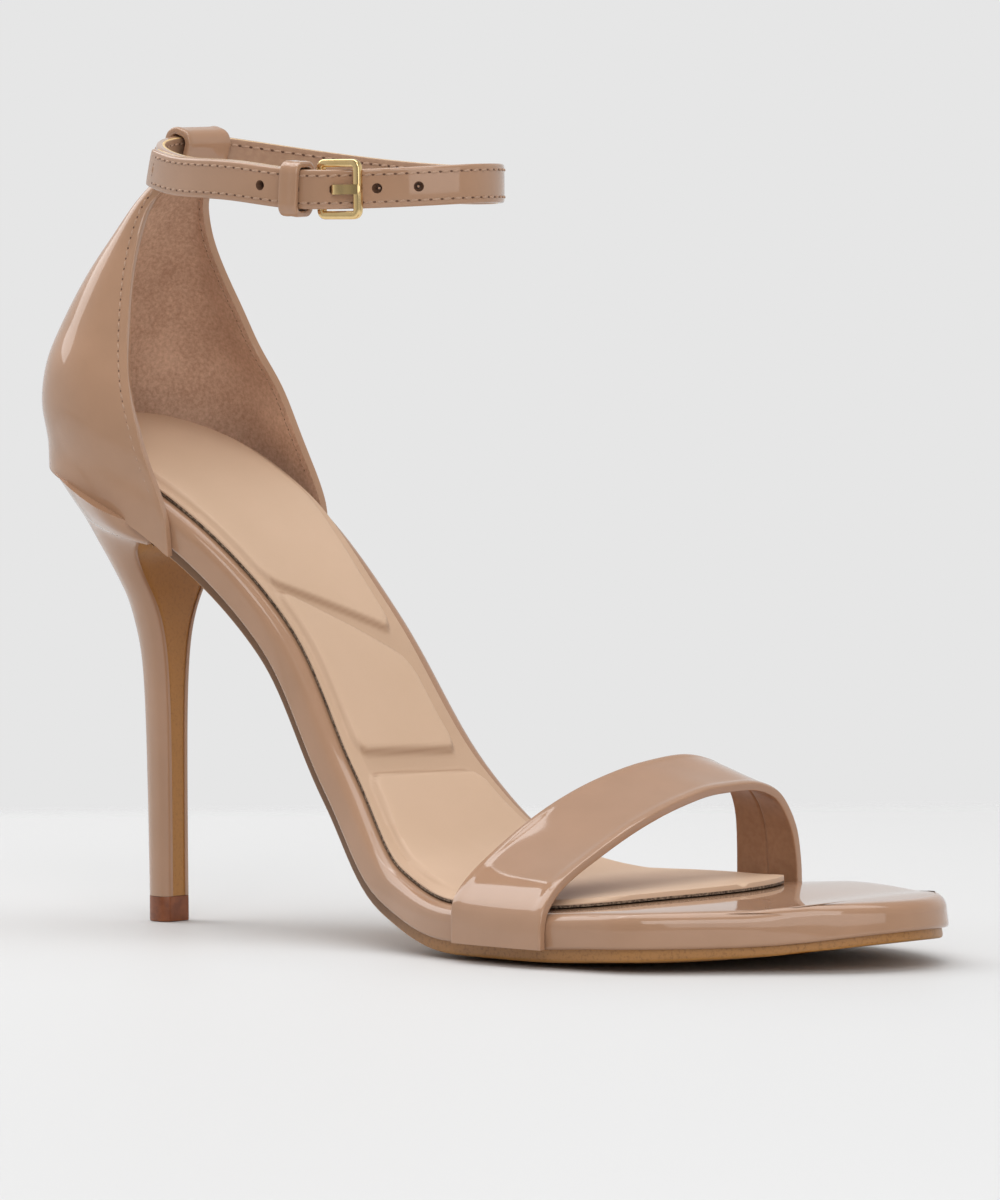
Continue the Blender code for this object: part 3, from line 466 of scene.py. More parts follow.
# %% Sock leather
def sock_leather():
    """Soft matt leather with a faint grain about a third of a millimetre across."""
    material, tree, shader, place = finish_of("sock_sheepskin")
    cloud = add(tree, "ShaderNodeTexNoise", {"Vector": place, "Scale": 60.0, "Detail": 4.0})
    tone = add(tree, "ShaderNodeValToRGB", {"Fac": cloud.outputs["Fac"]})
    tone.color_ramp.elements[0].position = 0.25
    tone.color_ramp.elements[0].color = colour("#CFAF93")
    tone.color_ramp.elements[1].position = 0.75
    tone.color_ramp.elements[1].color = colour("#D3B398")
    # Painted shade: the leather is darkened in the channels between the pads and on the pad walls, where
    # shade falls.
    channel_shade = add(tree, "ShaderNodeAttribute", attribute_name="channel_shade")
    channel_shaded_tone = add(tree, "ShaderNodeMix", {"Factor": channel_shade.outputs["Fac"]}, data_type="RGBA")
    tree.links.new(tone.outputs["Color"], channel_shaded_tone.inputs["A"])
    channel_shaded_tone.inputs["B"].default_value = colour("#A07C60")
    tree.links.new(channel_shaded_tone.outputs["Result"], shader.inputs["Base Color"])
    grain = add(tree, "ShaderNodeTexVoronoi", {"Vector": place, "Scale": 2600.0})
    bump = add(tree, "ShaderNodeBump", {
        "Height": grain.outputs["Distance"], "Strength": 0.25, "Distance": 0.06 * MM})
    tree.links.new(bump.outputs["Normal"], shader.inputs["Normal"])
    shader.inputs["Roughness"].default_value = 0.50
    shader.inputs["Specular IOR Level"].default_value = 0.35
    return material


# %% Suede lining
def suede():
    """Short brushed fibres with a velvet sheen, in clouds about 11 mm across.

    Real fibres are a few hundredths of a millimetre thick, too fine to show, so the speckle
    is drawn about 0.8 mm across.
    """
    material, tree, shader, place = finish_of("suede_lining")
    fibres = add(tree, "ShaderNodeTexNoise", {
        "Vector": place, "Scale": 1300.0, "Detail": 4.0, "Roughness": 0.7})
    cloud = add(tree, "ShaderNodeTexNoise", {"Vector": place, "Scale": 90.0, "Detail": 3.0, "Roughness": 0.5})
    mixed = add(tree, "ShaderNodeMix", {
        "Factor": 0.35, "A": fibres.outputs["Fac"], "B": cloud.outputs["Fac"]}, data_type="FLOAT")
    tone = add(tree, "ShaderNodeValToRGB", {"Fac": mixed.outputs["Result"]})
    tone.color_ramp.elements[0].position = 0.36
    tone.color_ramp.elements[0].color = colour("#B28D75")
    tone.color_ramp.elements[1].position = 0.64
    tone.color_ramp.elements[1].color = colour("#DAB59B")
    tree.links.new(tone.outputs["Color"], shader.inputs["Base Color"])
    bump = add(tree, "ShaderNodeBump", {
        "Height": fibres.outputs["Fac"], "Strength": 0.6, "Distance": 0.12 * MM})
    tree.links.new(bump.outputs["Normal"], shader.inputs["Normal"])
    shader.inputs["Roughness"].default_value = 0.95
    shader.inputs["Specular IOR Level"].default_value = 0.10
    shader.inputs["Sheen Weight"].default_value = 0.35
    shader.inputs["Sheen Roughness"].default_value = 0.45
    shader.inputs["Sheen Tint"].default_value = colour("#E8CDB8")
    return material


# %% Sole leather
def sole_leather(name, base, speck, roughness, shank_shade=None):
    """Tan leather, polished, with specks about 0.7 mm across. The optional shank colour is painted shade
    behind the ball, fading out towards it.
    """
    material, tree, shader, place = finish_of(name)
    specks = add(tree, "ShaderNodeTexNoise", {
        "Vector": place, "Scale": 1400.0, "Detail": 4.0, "Roughness": 0.7})
    tone = add(tree, "ShaderNodeValToRGB", {"Fac": specks.outputs["Fac"]})
    tone.color_ramp.elements[0].position = 0.34
    tone.color_ramp.elements[0].color = colour(speck)
    tone.color_ramp.elements[1].position = 0.50
    tone.color_ramp.elements[1].color = colour(base)
    # Painted shade: behind the ball the colour turns to the darker shank colour, fading out over about 30 mm.
    if shank_shade:
        along = add(tree, "ShaderNodeSeparateXYZ", {"Vector": place})
        reach = add(tree, "ShaderNodeMapRange", {
            "Value": along.outputs["X"], "From Min": -0.010, "From Max": 0.022,
            "To Min": 0.0, "To Max": 1.0}, interpolation_type="SMOOTHSTEP")
        shank_shaded = add(tree, "ShaderNodeMix", {"Factor": reach.outputs["Result"]}, data_type="RGBA")
        shank_shaded.inputs["A"].default_value = colour(shank_shade)
        tree.links.new(tone.outputs["Color"], shank_shaded.inputs["B"])
        tree.links.new(shank_shaded.outputs["Result"], shader.inputs["Base Color"])
    else:
        tree.links.new(tone.outputs["Color"], shader.inputs["Base Color"])
    bump = add(tree, "ShaderNodeBump", {
        "Height": specks.outputs["Fac"], "Strength": 0.15, "Distance": 0.04 * MM})
    tree.links.new(bump.outputs["Normal"], shader.inputs["Normal"])
    shader.inputs["Roughness"].default_value = roughness
    return material


SOCK_LEATHER = sock_leather()
SUEDE = suede()
SOLE_TAN = sole_leather("sole_leather_tan", "#AB7738", "#9F6C33", 0.42)
# The cut edge carries painted shade along the shank.
SOLE_EDGE = sole_leather("sole_leather_cut_edge", "#A5743F", "#8A5E30", 0.35, shank_shade="#6E4A2A")
print("sock leather, suede and sole leather")

# %% [markdown]
# ## Raw edge, rubber, gilt metal, thread
# The sock's cut edge shows its dark foam and its cloth in short dashes. The heel stands on a
# brown rubber lift. The buckle is polished, gilt steel: a metal takes its colour from its
# reflections, so it has a full metallic value and a low roughness. The thread is a twisted
# polyester with a soft sheen, and each needle hole is a dark disc, painted shade of its pit.

# %% Small finishes
def raw_edge():
    """Cut edge of foam and cloth, in dark and light dashes about 0.7 mm long."""
    material, tree, shader, place = finish_of("raw_foam_edge")
    dashes = add(tree, "ShaderNodeTexNoise", {
        "Vector": place, "Scale": 1500.0, "Detail": 3.0, "Roughness": 0.8})
    tone = add(tree, "ShaderNodeValToRGB", {"Fac": dashes.outputs["Fac"]})
    tone.color_ramp.elements[0].position = 0.42
    tone.color_ramp.elements[0].color = colour("#4A392D")
    tone.color_ramp.elements[1].position = 0.62
    tone.color_ramp.elements[1].color = colour("#9A8470")
    tree.links.new(tone.outputs["Color"], shader.inputs["Base Color"])
    bump = add(tree, "ShaderNodeBump", {
        "Height": dashes.outputs["Fac"], "Strength": 1.0, "Distance": 0.3 * MM})
    tree.links.new(bump.outputs["Normal"], shader.inputs["Normal"])
    shader.inputs["Roughness"].default_value = 0.9
    return material


def plain_finish(name, light, dark, scale, roughness, metallic=0.0, depth=0.01):
    """A simple finish whose two tones follow a fine noise of the given scale per metre."""
    material, tree, shader, place = finish_of(name)
    noise = add(tree, "ShaderNodeTexNoise", {"Vector": place, "Scale": scale, "Detail": 3.0})
    tone = add(tree, "ShaderNodeValToRGB", {"Fac": noise.outputs["Fac"]})
    tone.color_ramp.elements[0].position = 0.35
    tone.color_ramp.elements[0].color = colour(dark)
    tone.color_ramp.elements[1].position = 0.65
    tone.color_ramp.elements[1].color = colour(light)
    tree.links.new(tone.outputs["Color"], shader.inputs["Base Color"])
    bump = add(tree, "ShaderNodeBump", {
        "Height": noise.outputs["Fac"], "Strength": 0.4, "Distance": depth * MM})
    tree.links.new(bump.outputs["Normal"], shader.inputs["Normal"])
    shader.inputs["Roughness"].default_value = roughness
    shader.inputs["Metallic"].default_value = metallic
    return material


RAW_EDGE = raw_edge()
# Moulded rubber: half matt, with a faint mottle about 2.5 mm across.
RUBBER = plain_finish("lift_rubber_brown", "#8C4F2A", "#733C1E", 400.0, 0.42, depth=0.04)
# Cast, polished and gilt steel: mirror bright, its colour is that of its reflections.
GILT = plain_finish("gilt_steel_polished", "#F0D29A", "#E8C88C", 300.0, 0.12, metallic=1.0, depth=0.01)
# Twisted polyester: a soft sheen and a twist about 0.4 mm long.
THREAD = plain_finish("polyester_thread", "#B8957C", "#A5836B", 2500.0, 0.55, depth=0.03)
# A needle hole: a dark, dull disc on the leather, painted shade of the pit.
NEEDLE_HOLE_SHADE = plain_finish("needle_hole", "#6B4B38", "#583C2D", 2000.0, 0.8, depth=0.02)
# The strap's cut edge, dyed a gold tan and waxed: satin.
STRAP_EDGE = plain_finish("strap_cut_edge_gold_tan", "#E3C58C", "#D2AE72", 900.0, 0.38, depth=0.03)
# Pigmented lining leather, smooth: half matt, with pores about 1.4 mm apart.
STRAP_LINING = plain_finish("strap_lining_smooth", "#B18D72", "#A8836A", 700.0, 0.42, depth=0.02)
VAMP_LINING = plain_finish("toe_strap_lining", "#9E7659", "#946C50", 700.0, 0.38, depth=0.02)
# The raw fibres inside a punched hole: dull, and coloured dark as painted shade of the hole.
HOLE_WALL_SHADE = plain_finish("punched_hole_wall_shaded", "#6E4C35", "#4C3324", 1500.0, 0.7, depth=0.03)
print("raw edge, rubber, gilt, thread and edge finishes")

# %% [markdown]
# ## The wrapped insole board
# The board is a thick plate wrapped in patent leather: it climbs from the ball to the seat,
# its front stands clear as a glossy platform under the toes, and its upper edge is rolled.
# It could be a lofted curve surface, but a cut cube carried onto the last keeps an even grid,
# which takes a clean bevel, so that way was chosen.

# %% The wrapped insole board
ROLL = 2.3
ROLL_ROW = 0.94
END_ROW = 0.009
TIP_THIN = 1.2
WALL_SWELL = 0.25
board = cut_cube("wrapped_board", (99, 19, 1))
board_plan = Plan(0.0, LENGTH, SEAT_ROUND, TOE_ROUND, lambda x: 0.0)


def board_place(s, t, w):
    """Place of a point of the board: s to the toe, t to the inner side, w up."""
    # The outer row of faces is wider than the others, so that the rolled edge has room.
    side = 2.0 * t - 1.0
    side = side if abs(side) > 0.999 else side * ROLL_ROW
    s = s if s in (0.0, 1.0) else END_ROW + (1.0 - 2.0 * END_ROW) * s
    x, y = board_plan.place(s, side)
    depth = -crown(x, side)
    depth += (RIM_THICK - depth) * (1.0 - w)
    if w > 0.9:
        # The toe's tip is skived thinner under the wrap, so its top rolls down.
        depth += TIP_THIN * ramp(x, 198.0, LENGTH) ** 2
    if 0.25 < w < 0.75 and (t < 0.001 or t > 0.999):
        y += math.copysign(WALL_SWELL, side)
    x, z = under_rim(x, depth)
    return x, y, z


def board_soften(first, second):
    if outline(first, second, 1.0):
        return 1.0
    return 0.35 if outline(first, second, 0.0) else 0.0


carry(board, board_place, board_soften)
finish(board, [PATENT_FLAT], "wrapped_insole_board", width=ROLL, segments=7, angle=60.0,
       clamp=False)

# %% [markdown]
# ## The padded sock
# The sock is a thin cushion of foam under sheepskin. Pressed channels divide it into three
# pads: the seat, the arch and the ball. A slanting channel parts the first two, a double
# one runs straight across in front of the arch, and a border channel follows the edges.
# A cloth simulation would swell it like a pillow, which a pressed sock isn't, so
# its points are raised and lowered by the distance to each channel.

# %% The padded sock
SOCK_INSET = 2.8
SOCK_TUCK = 0.6
SOCK_LENGTH = 173.0
SOCK_TOE_ROUND = 38.0
VAMP_BACK = 128.0
VAMP_FRONT = 155.0
SLANT_X = 63.6
SLANT_TURN = 0.42
CROSS_X = 84.9
PAD_RISE = 1.15
PAD_WALL = 1.15
PAD_CORNER = 3.2
PAD_DOME = 0.35
DOME_REACH = 12.0
SLANT_HALF = 0.75
CROSS_HALF = 1.3
PAD_END, FLAT_FROM = 112.0, 126.0

BORDER = (
    dict(x=0.0, inner=2.4, outer=2.2, trim=0.0),
    dict(x=38.0, inner=2.0, outer=1.6, trim=0.0),
    dict(x=50.0, inner=2.4, outer=1.2, trim=1.2),
    dict(x=60.0, inner=3.0, outer=1.2, trim=2.0),
    dict(x=72.0, inner=3.8, outer=1.6, trim=2.0),
    dict(x=83.0, inner=4.0, outer=2.2, trim=2.0),
    dict(x=90.0, inner=2.7, outer=2.4, trim=1.8),
    dict(x=112.0, inner=3.0, outer=2.6, trim=1.2),
    dict(x=126.0, inner=3.0, outer=2.6, trim=0.0),
    dict(x=173.0, inner=3.0, outer=2.6, trim=0.0),
)


def sock_inset(x):
    """How far the sock stays inside the board's edge. Under the toe strap it is tucked in more."""
    return SOCK_INSET + SOCK_TUCK * math.exp(-((x - 0.5 * (VAMP_BACK + VAMP_FRONT)) / 16.0) ** 2)


sock_plan = Plan(SOCK_INSET, SOCK_LENGTH, SEAT_ROUND - SOCK_INSET, SOCK_TOE_ROUND, sock_inset)


def pad_height(x, y, side, edge_in):
    """Height of the sock's top over its thin edge: three pads with pressed channels between.

    Each pad is bounded by straight lines. The distances to them are joined so that the
    pad's corners are round, and its height follows that joint distance.
    """
    border = read(BORDER, "inner" if side > 0.0 else "outer", x, "x")
    slant = (x - SLANT_X - SLANT_TURN * y) / math.hypot(1.0, SLANT_TURN)
    slant_half = SLANT_HALF + 0.05 * y
    cross = x - CROSS_X - 0.03 * y
    inside = edge_in - border
    pads = (
        (inside, -slant - slant_half),
        (inside, slant - slant_half, -cross - CROSS_HALF),
        (inside, cross - CROSS_HALF))
    rise, climb = 0.0, 0.0
    for bounds in pads:
        depth = PAD_CORNER - math.sqrt(sum(max(PAD_CORNER - bound, 0.0) ** 2 for bound in bounds))
        edge = ramp(depth, -0.2, PAD_WALL)
        climb = max(climb, edge)
        inward = min(max(depth, 0.0), DOME_REACH) / DOME_REACH
        rise = max(rise, PAD_RISE * edge + PAD_DOME * (1.0 - (1.0 - inward) ** 2))
    flat = 1.0 - ramp(x, PAD_END, FLAT_FROM)
    # Painted shade for the sock's colour: strongest halfway up the pad walls, faint on the channel floors,
    # halved along the outer border, none on the flat front.
    channel_shade = flat * (2.4 * climb * (1.0 - climb) + 0.25 * (1.0 - climb))
    if side <= 0.0 and inside <= 1.5:
        channel_shade *= 0.5
    return (0.1 + rise) * flat + 0.75 * ramp(edge_in, 0.0, 2.0) * (1.0 - flat), channel_shade


# Painted shade of each point on the sock's top, kept by its shares.
channel_shade_at = {}


def sock_place(s, t, w):
    """Place of a point of the sock, on the board's crown."""
    side = 2.0 * t - 1.0
    x, y = sock_plan.place(s, side)
    trim = read(BORDER, "trim", x, "x") * max(side, 0.0)
    y -= trim
    over = (y - drift(x)) / full_half(x)
    height = crown(x, over) + GAP
    edge_in = (sock_plan.half(x) - (trim if side > 0.0 else 0.0)) * (1.0 - abs(side))
    if w > 0.9:
        rise, channel_shade_at[(s, t, w)] = pad_height(x, y, side, max(edge_in, 0.0))
        height += 0.75 + rise
    elif w > 0.1:
        height += 0.5
    x, z = under_rim(x, -height)
    return x, y, z


def sock_soften(first, second):
    return 1.0 if outline(first, second, 1.0) else 0.0


def sock_paint(s, t, w):
    return 0 if w > 0.6 else 1


sock = cut_cube("padded_sock_pressed", (299, 79, 1))
sock_shares = carry(sock, sock_place, sock_soften, sock_paint)
# The painted shade goes onto the sock's points, where its finish reads it.
channel_shade = sock.data.attributes.new("channel_shade", "FLOAT", "POINT")
channel_shade.data.foreach_set("value", [channel_shade_at.get(share, 0.0) for share in sock_shares])
finish(sock, [SOCK_LEATHER, RAW_EDGE], "padded_sock", width=0.3, segments=2)

# %% [markdown]
# ## The outsole
# The outsole is a thin sheet of tan sole leather cemented under the board. Its cut edge is
# stained darker and burnished, with painted shade along the shank, and it is seen as a fine line all along
# the shoe.

# %% The outsole
HEEL_SEAT_FRONT = 34.6
OUTSOLE_START = HEEL_SEAT_FRONT + 3.2
outsole_plan = Plan(OUTSOLE_START, LENGTH - OUTSOLE_INSET, 1.0, TOE_ROUND - OUTSOLE_INSET,
                    lambda x: OUTSOLE_INSET)


def outsole_place(s, t, w):
    """Place of a point of the outsole, which swells to a tread under the ball."""
    side = 2.0 * t - 1.0
    x, y = outsole_plan.place(s, side)
    if s < 0.1:
        # The sheet ends square against the breast, without rounded corners.
        y = drift(x) + side * (full_half(x) - OUTSOLE_INSET)
    if w > 0.5:
        x, z = under_rim(x, RIM_THICK + 0.02)
        return x, y, z
    ball = ramp(x / LENGTH, 0.42, 0.54)
    belly = TREAD_LIFT * 1.15 * ball * (1.0 - side ** 4) * (1.0 - ramp(x, 175.0, 200.0))
    thin = 0.7 * ramp(x, 165.0, 205.0)
    x, z = under_rim(x, RIM_THICK + GAP + OUTSOLE_THICK + belly - thin)
    return x, y, max(z, 0.0)


def outsole_soften(first, second):
    return 1.0 if outline(first, second, 0.0) and not on_face(first, second, 0, 0.0) else 0.0


def outsole_paint(s, t, w):
    return 1 if t < 0.001 or t > 0.999 or s > 0.999 else 0


outsole = cut_cube("sole_sheet", (99, 19, 0))
carry(outsole, outsole_place, outsole_soften, outsole_paint)
finish(outsole, [SOLE_TAN, SOLE_EDGE], "outsole", width=0.7, segments=3, clamp=False)

# %% [markdown]
# ## The counter
# The closed back is one piece of patent leather outside and suede inside, cut to a tall
# curve that narrows to the ankle. Its front edges are folded and stitched. A wall that
# hugs the seat and then leans in can't be a simple cylinder, so a cut cube is bent round the
# seat's outline: its length goes round the heel, its width goes up, its height is the wall.

# %% The counter
COUNTER_WALL = 1.5
COUNTER_RISE = 48.7
COUNTER_HALF = 23.0
COUNTER_FRONT = 38.0
COUNTER_AROUND = 90.0
FOOT_FORWARD = 6.0
FOOT_BELOW = 0.6
FOLD_PROUD = 0.18
FOLD_IN = 0.9
COUNTER = (
    dict(level=0.10, front_z=-0.405, back_z=-0.040, front=1.045, back=-0.088, half=1.014, drift=-1.0),
    dict(level=0.19, front_z=-0.300, back_z=0.010, front=0.996, back=-0.096, half=1.012, drift=-1.2),
    dict(level=0.28, front_z=-0.190, back_z=0.084, front=0.940, back=-0.098, half=1.010, drift=-1.9),
    dict(level=0.37, front_z=-0.050, back_z=0.175, front=0.870, back=-0.074, half=0.996, drift=-2.5),
    dict(level=0.46, front_z=0.115, back_z=0.278, front=0.780, back=-0.036, half=0.960, drift=-2.5),
    dict(level=0.55, front_z=0.278, back_z=0.400, front=0.686, back=0.022, half=0.830, drift=-2.5),
    dict(level=0.64, front_z=0.441, back_z=0.522, front=0.632, back=0.098, half=0.712, drift=-2.5),
    dict(level=0.73, front_z=0.604, back_z=0.655, front=0.578, back=0.196, half=0.574, drift=-2.5),
    dict(level=0.82, front_z=0.767, back_z=0.788, front=0.550, back=0.324, half=0.436, drift=-2.4),
    dict(level=0.91, front_z=0.910, back_z=0.915, front=0.556, back=0.440, half=0.335, drift=-1.8),
    dict(level=1.00, front_z=0.992, back_z=1.020, front=0.628, back=0.556, half=0.252, drift=-1.1),
)


def seat_trail(offset, front):
    """Points round the back of the seat, with the distance gone at each."""
    plan = Plan(-offset, LENGTH, SEAT_ROUND + offset, TOE_ROUND, lambda x: -offset)
    trail, steps = [], [0.0]
    for index in range(241):
        angle = math.pi * (index / 240 - 0.5)
        x = -offset + (front + offset) * (1.0 - math.cos(angle))
        half = plan.half(x) if abs(angle) > 1e-6 else 0.0
        trail.append(Vector((x, drift(x) + math.copysign(half, angle))))
    for before, after in zip(trail, trail[1:]):
        steps.append(steps[-1] + (after - before).length)
    return trail, steps


def along_trail(trail, s):
    """Place at a share of a trail's length."""
    points, steps = trail
    goal = steps[-1] * min(max(s, 0.0), 1.0)
    low, high = 0, len(steps) - 1
    while high - low > 1:
        middle = (low + high) // 2
        if steps[middle] <= goal:
            low = middle
        else:
            high = middle
    part = (goal - steps[low]) / max(steps[high] - steps[low], 1e-9)
    return points[low].lerp(points[high], part)


SEAT_TRAIL = seat_trail(GAP, COUNTER_FRONT)
FOOT_TRAIL = seat_trail(GAP, COUNTER_FRONT + FOOT_FORWARD)
seat_half = 0.5 * (SEAT_TRAIL[0][-1].y - SEAT_TRAIL[0][0].y)
seat_middle = 0.5 * (SEAT_TRAIL[0][-1].y + SEAT_TRAIL[0][0].y)
seat_drop = rim_height(0.0) - rim_height(COUNTER_FRONT)


def counter_row(s, level):
    """Inner face of the counter, from the outer side s = 0 to the inner side s = 1."""
    if level < COUNTER[0]["level"]:
        x, y = along_trail(FOOT_TRAIL, s)
        x, z = under_rim(x, RIM_THICK + FOOT_BELOW)
        foot = Vector((x, y, z))
        return foot.lerp(counter_row(s, COUNTER[0]["level"]), max(level, 0.0) / COUNTER[0]["level"])
    x, y = along_trail(SEAT_TRAIL, s)
    share = x / COUNTER_FRONT
    fall = (rim_height(0.0) - rim_height(x)) / seat_drop
    front_z, back_z, front, back, half, middle = (
        read(COUNTER, name, level, "level")
        for name in ("front_z", "back_z", "front", "back", "half", "drift"))
    return Vector((
        (back + (front - back) * share) * COUNTER_FRONT,
        middle + (y - seat_middle) * half * COUNTER_HALF / seat_half,
        SEAT_HEIGHT + (back_z + (front_z - back_z) * fall) * COUNTER_RISE,
    ))


def counter_inner(s, level):
    """The counter's inner face without kinks between its levels."""
    reach = min(0.03, 0.5 * level, 0.5 * (1.0 - level))
    return eased(lambda key: counter_row(s, key), level, max(reach, 0.0))


def counter_out(s, level):
    """Direction out of the wall."""
    after, before = counter_inner(min(s + 0.02, 1.0), level), counter_inner(max(s - 0.02, 0.0), level)
    high, low = counter_inner(s, min(level + 0.03, 1.0)), counter_inner(s, max(level - 0.03, 0.0))
    return (high - low).cross(after - before).normalized()


def counter_place(s, t, w):
    """Place of a point of the counter: s round the heel, t up, w through the wall."""
    here = counter_inner(s, t)
    if w < 0.01:
        return here
    # The folded front edge stands a little proud where the leather is doubled.
    edge = min(s, 1.0 - s) * COUNTER_AROUND
    proud = FOLD_PROUD * math.exp(-((edge - FOLD_IN) / FOLD_IN) ** 2) if w > 0.99 else 0.0
    return here + counter_out(s, t) * (COUNTER_WALL * w + proud)


def counter_soften(first, second):
    if not (on_face(first, second, 2, 0.0) or on_face(first, second, 2, 1.0)):
        return 0.0
    return 1.0 if on_face(first, second, 0, 0.0) or on_face(first, second, 0, 1.0) else 0.0


def counter_paint(s, t, w):
    return 1 if w < 0.001 else 0


counter = cut_cube("counter_quarter", (75, 59, 0))
carry(counter, counter_place, counter_soften, counter_paint)
finish(counter, [PATENT, SUEDE], "counter", width=0.55, segments=4)

# %% [markdown]
# ## The strap over the toes
# A broad band of patent leather crosses the toes. Its edges are folded over and rolled, and
# it is lined with a smooth leather that has one seam. The band twists a little on its way,
# so the points of its two edges are read from a few sections, and its face is filled between.
# A low ridge along the folded front edge and slow waves across it catch the light.

# %% The strap over the toes
VAMP_THICK = 1.8
VAMP_RISE = 28.0
VAMP_WIDE = 26.0
LINING_SEAM = 0.28
VAMP = (
    dict(arc=0.08, y_back=-1.002, z_back=0.050, y_front=-1.045, z_front=0.050, x_back=1.6, x_front=0.5),
    dict(arc=0.16, y_back=-0.890, z_back=0.200, y_front=-0.915, z_front=0.215, x_back=1.2, x_front=0.2),
    dict(arc=0.25, y_back=-0.590, z_back=0.465, y_front=-0.560, z_front=0.440, x_back=2.0, x_front=-0.3),
    dict(arc=0.34, y_back=-0.290, z_back=0.700, y_front=-0.250, z_front=0.612, x_back=4.0, x_front=0.0),
    dict(arc=0.43, y_back=0.020, z_back=0.865, y_front=0.080, z_front=0.740, x_back=6.2, x_front=0.0),
    dict(arc=0.52, y_back=0.310, z_back=0.965, y_front=0.360, z_front=0.803, x_back=8.4, x_front=0.0),
    dict(arc=0.61, y_back=0.570, z_back=1.000, y_front=0.620, z_front=0.810, x_back=10.0, x_front=0.0),
    dict(arc=0.70, y_back=0.800, z_back=0.930, y_front=0.840, z_front=0.740, x_back=11.0, x_front=-0.4),
    dict(arc=0.78, y_back=0.945, z_back=0.750, y_front=0.960, z_front=0.585, x_back=11.4, x_front=-0.8),
    dict(arc=0.86, y_back=1.012, z_back=0.510, y_front=1.030, z_front=0.385, x_back=11.0, x_front=-0.9),
    dict(arc=0.93, y_back=1.030, z_back=0.250, y_front=1.055, z_front=0.160, x_back=10.6, x_front=-0.9),
)


def vamp_row(arc, edge):
    """Outer face of the strap: arc from outer to inner foot, edge from back to front."""
    first, last = VAMP[0]["arc"], VAMP[-1]["arc"]
    inside = min(max(arc, first), last)
    x_back, x_front, y_back, y_front, z_back, z_front = (
        read(VAMP, name, inside, "arc")
        for name in ("x_back", "x_front", "y_back", "y_front", "z_back", "z_front"))
    x = VAMP_BACK + x_back + (VAMP_FRONT + x_front - VAMP_BACK - x_back) * edge
    y = (y_back + (y_front - y_back) * edge) * BALL_HALF
    z = BALL_TOP + (z_back + (z_front - z_back) * edge) * VAMP_RISE
    if first <= arc <= last:
        return Vector((x, y, z))
    side = -1.0 if arc < 0.5 else 1.0
    wall = drift(x) + side * (full_half(x) + GAP + VAMP_THICK)
    part = max(arc / first if arc < first else (1.0 - arc) / (1.0 - last), 0.0)
    foot, top = BALL_TOP - RIM_THICK + 0.2, BALL_TOP - 1.5
    if part < 0.5:
        return Vector((x, wall, foot + (top - foot) * part * 2.0))
    share = part * 2.0 - 1.0
    return Vector((x, wall + (y - wall) * share, top + (z - top) * share))


def vamp_face(arc, edge):
    """The strap's face without kinks."""
    reach = min(0.016, 0.5 * arc, 0.5 * (1.0 - arc))
    return eased(lambda key: vamp_row(key, edge), arc, max(reach, 0.0))


def vamp_out(arc, edge):
    """Direction out of the strap's face."""
    after, before = vamp_face(min(arc + 0.01, 1.0), edge), vamp_face(max(arc - 0.01, 0.0), edge)
    high, low = vamp_face(arc, min(edge + 0.2, 1.0)), vamp_face(arc, max(edge - 0.2, 0.0))
    out = (high - low).cross(after - before).normalized()
    foot = ramp(min(arc, 1.0 - arc), 0.0, 0.06)
    upright = Vector((0.0, -1.0 if arc < 0.5 else 1.0, 0.0))
    return (out * foot + upright * (1.0 - foot)).normalized()


def vamp_place(s, t, w):
    """Place of a point of the toe strap: s over the foot, t from back to front, w outward."""
    here = vamp_face(s, t)
    out = vamp_out(s, t)
    if w < 0.5:
        # The lining is sewn from two strips, and the middle row of points sinks in their seam.
        return here - out * (VAMP_THICK - (LINING_SEAM if abs(t - 0.5) < 0.01 else 0.0))
    from_front = (1.0 - t) * VAMP_WIDE
    from_back = t * VAMP_WIDE
    high = ramp(min(s, 1.0 - s), 0.04, 0.12)
    ridge = 0.16 * math.exp(-((from_front - 1.5) / 0.9) ** 2)
    ridge += 0.10 * math.exp(-((from_back - 1.4) / 0.9) ** 2)
    wave = 0.04 * math.sin(s * 27.0 + t * 5.0) * math.sin(t * 6.0 + s * 9.0 + 0.7)
    return here + out * high * (ridge + wave - 0.06)


def vamp_soften(first, second):
    if not (on_face(first, second, 2, 0.0) or on_face(first, second, 2, 1.0)):
        return 0.0
    return 1.0 if on_face(first, second, 1, 0.0) or on_face(first, second, 1, 1.0) else 0.0


def vamp_paint(s, t, w):
    return 1 if w < 0.001 else 0


vamp = cut_cube("toe_strap_folded", (139, 39, 0))
carry(vamp, vamp_place, vamp_soften, vamp_paint)
finish(vamp, [PATENT, VAMP_LINING], "toe_strap", width=0.75, segments=4)

# %% [markdown]
# ## The heel, its breast and its lift
# The stiletto heel is a moulded core wrapped in patent leather, whose edges are turned in
# along the breast. A tongue of sole leather covers the breast between those edges. Below,
# the heel stands on a rubber lift. The rings of the heel are half round behind and flat in
# front, and a curve through them from seat to lift gives the long, hollow flare.

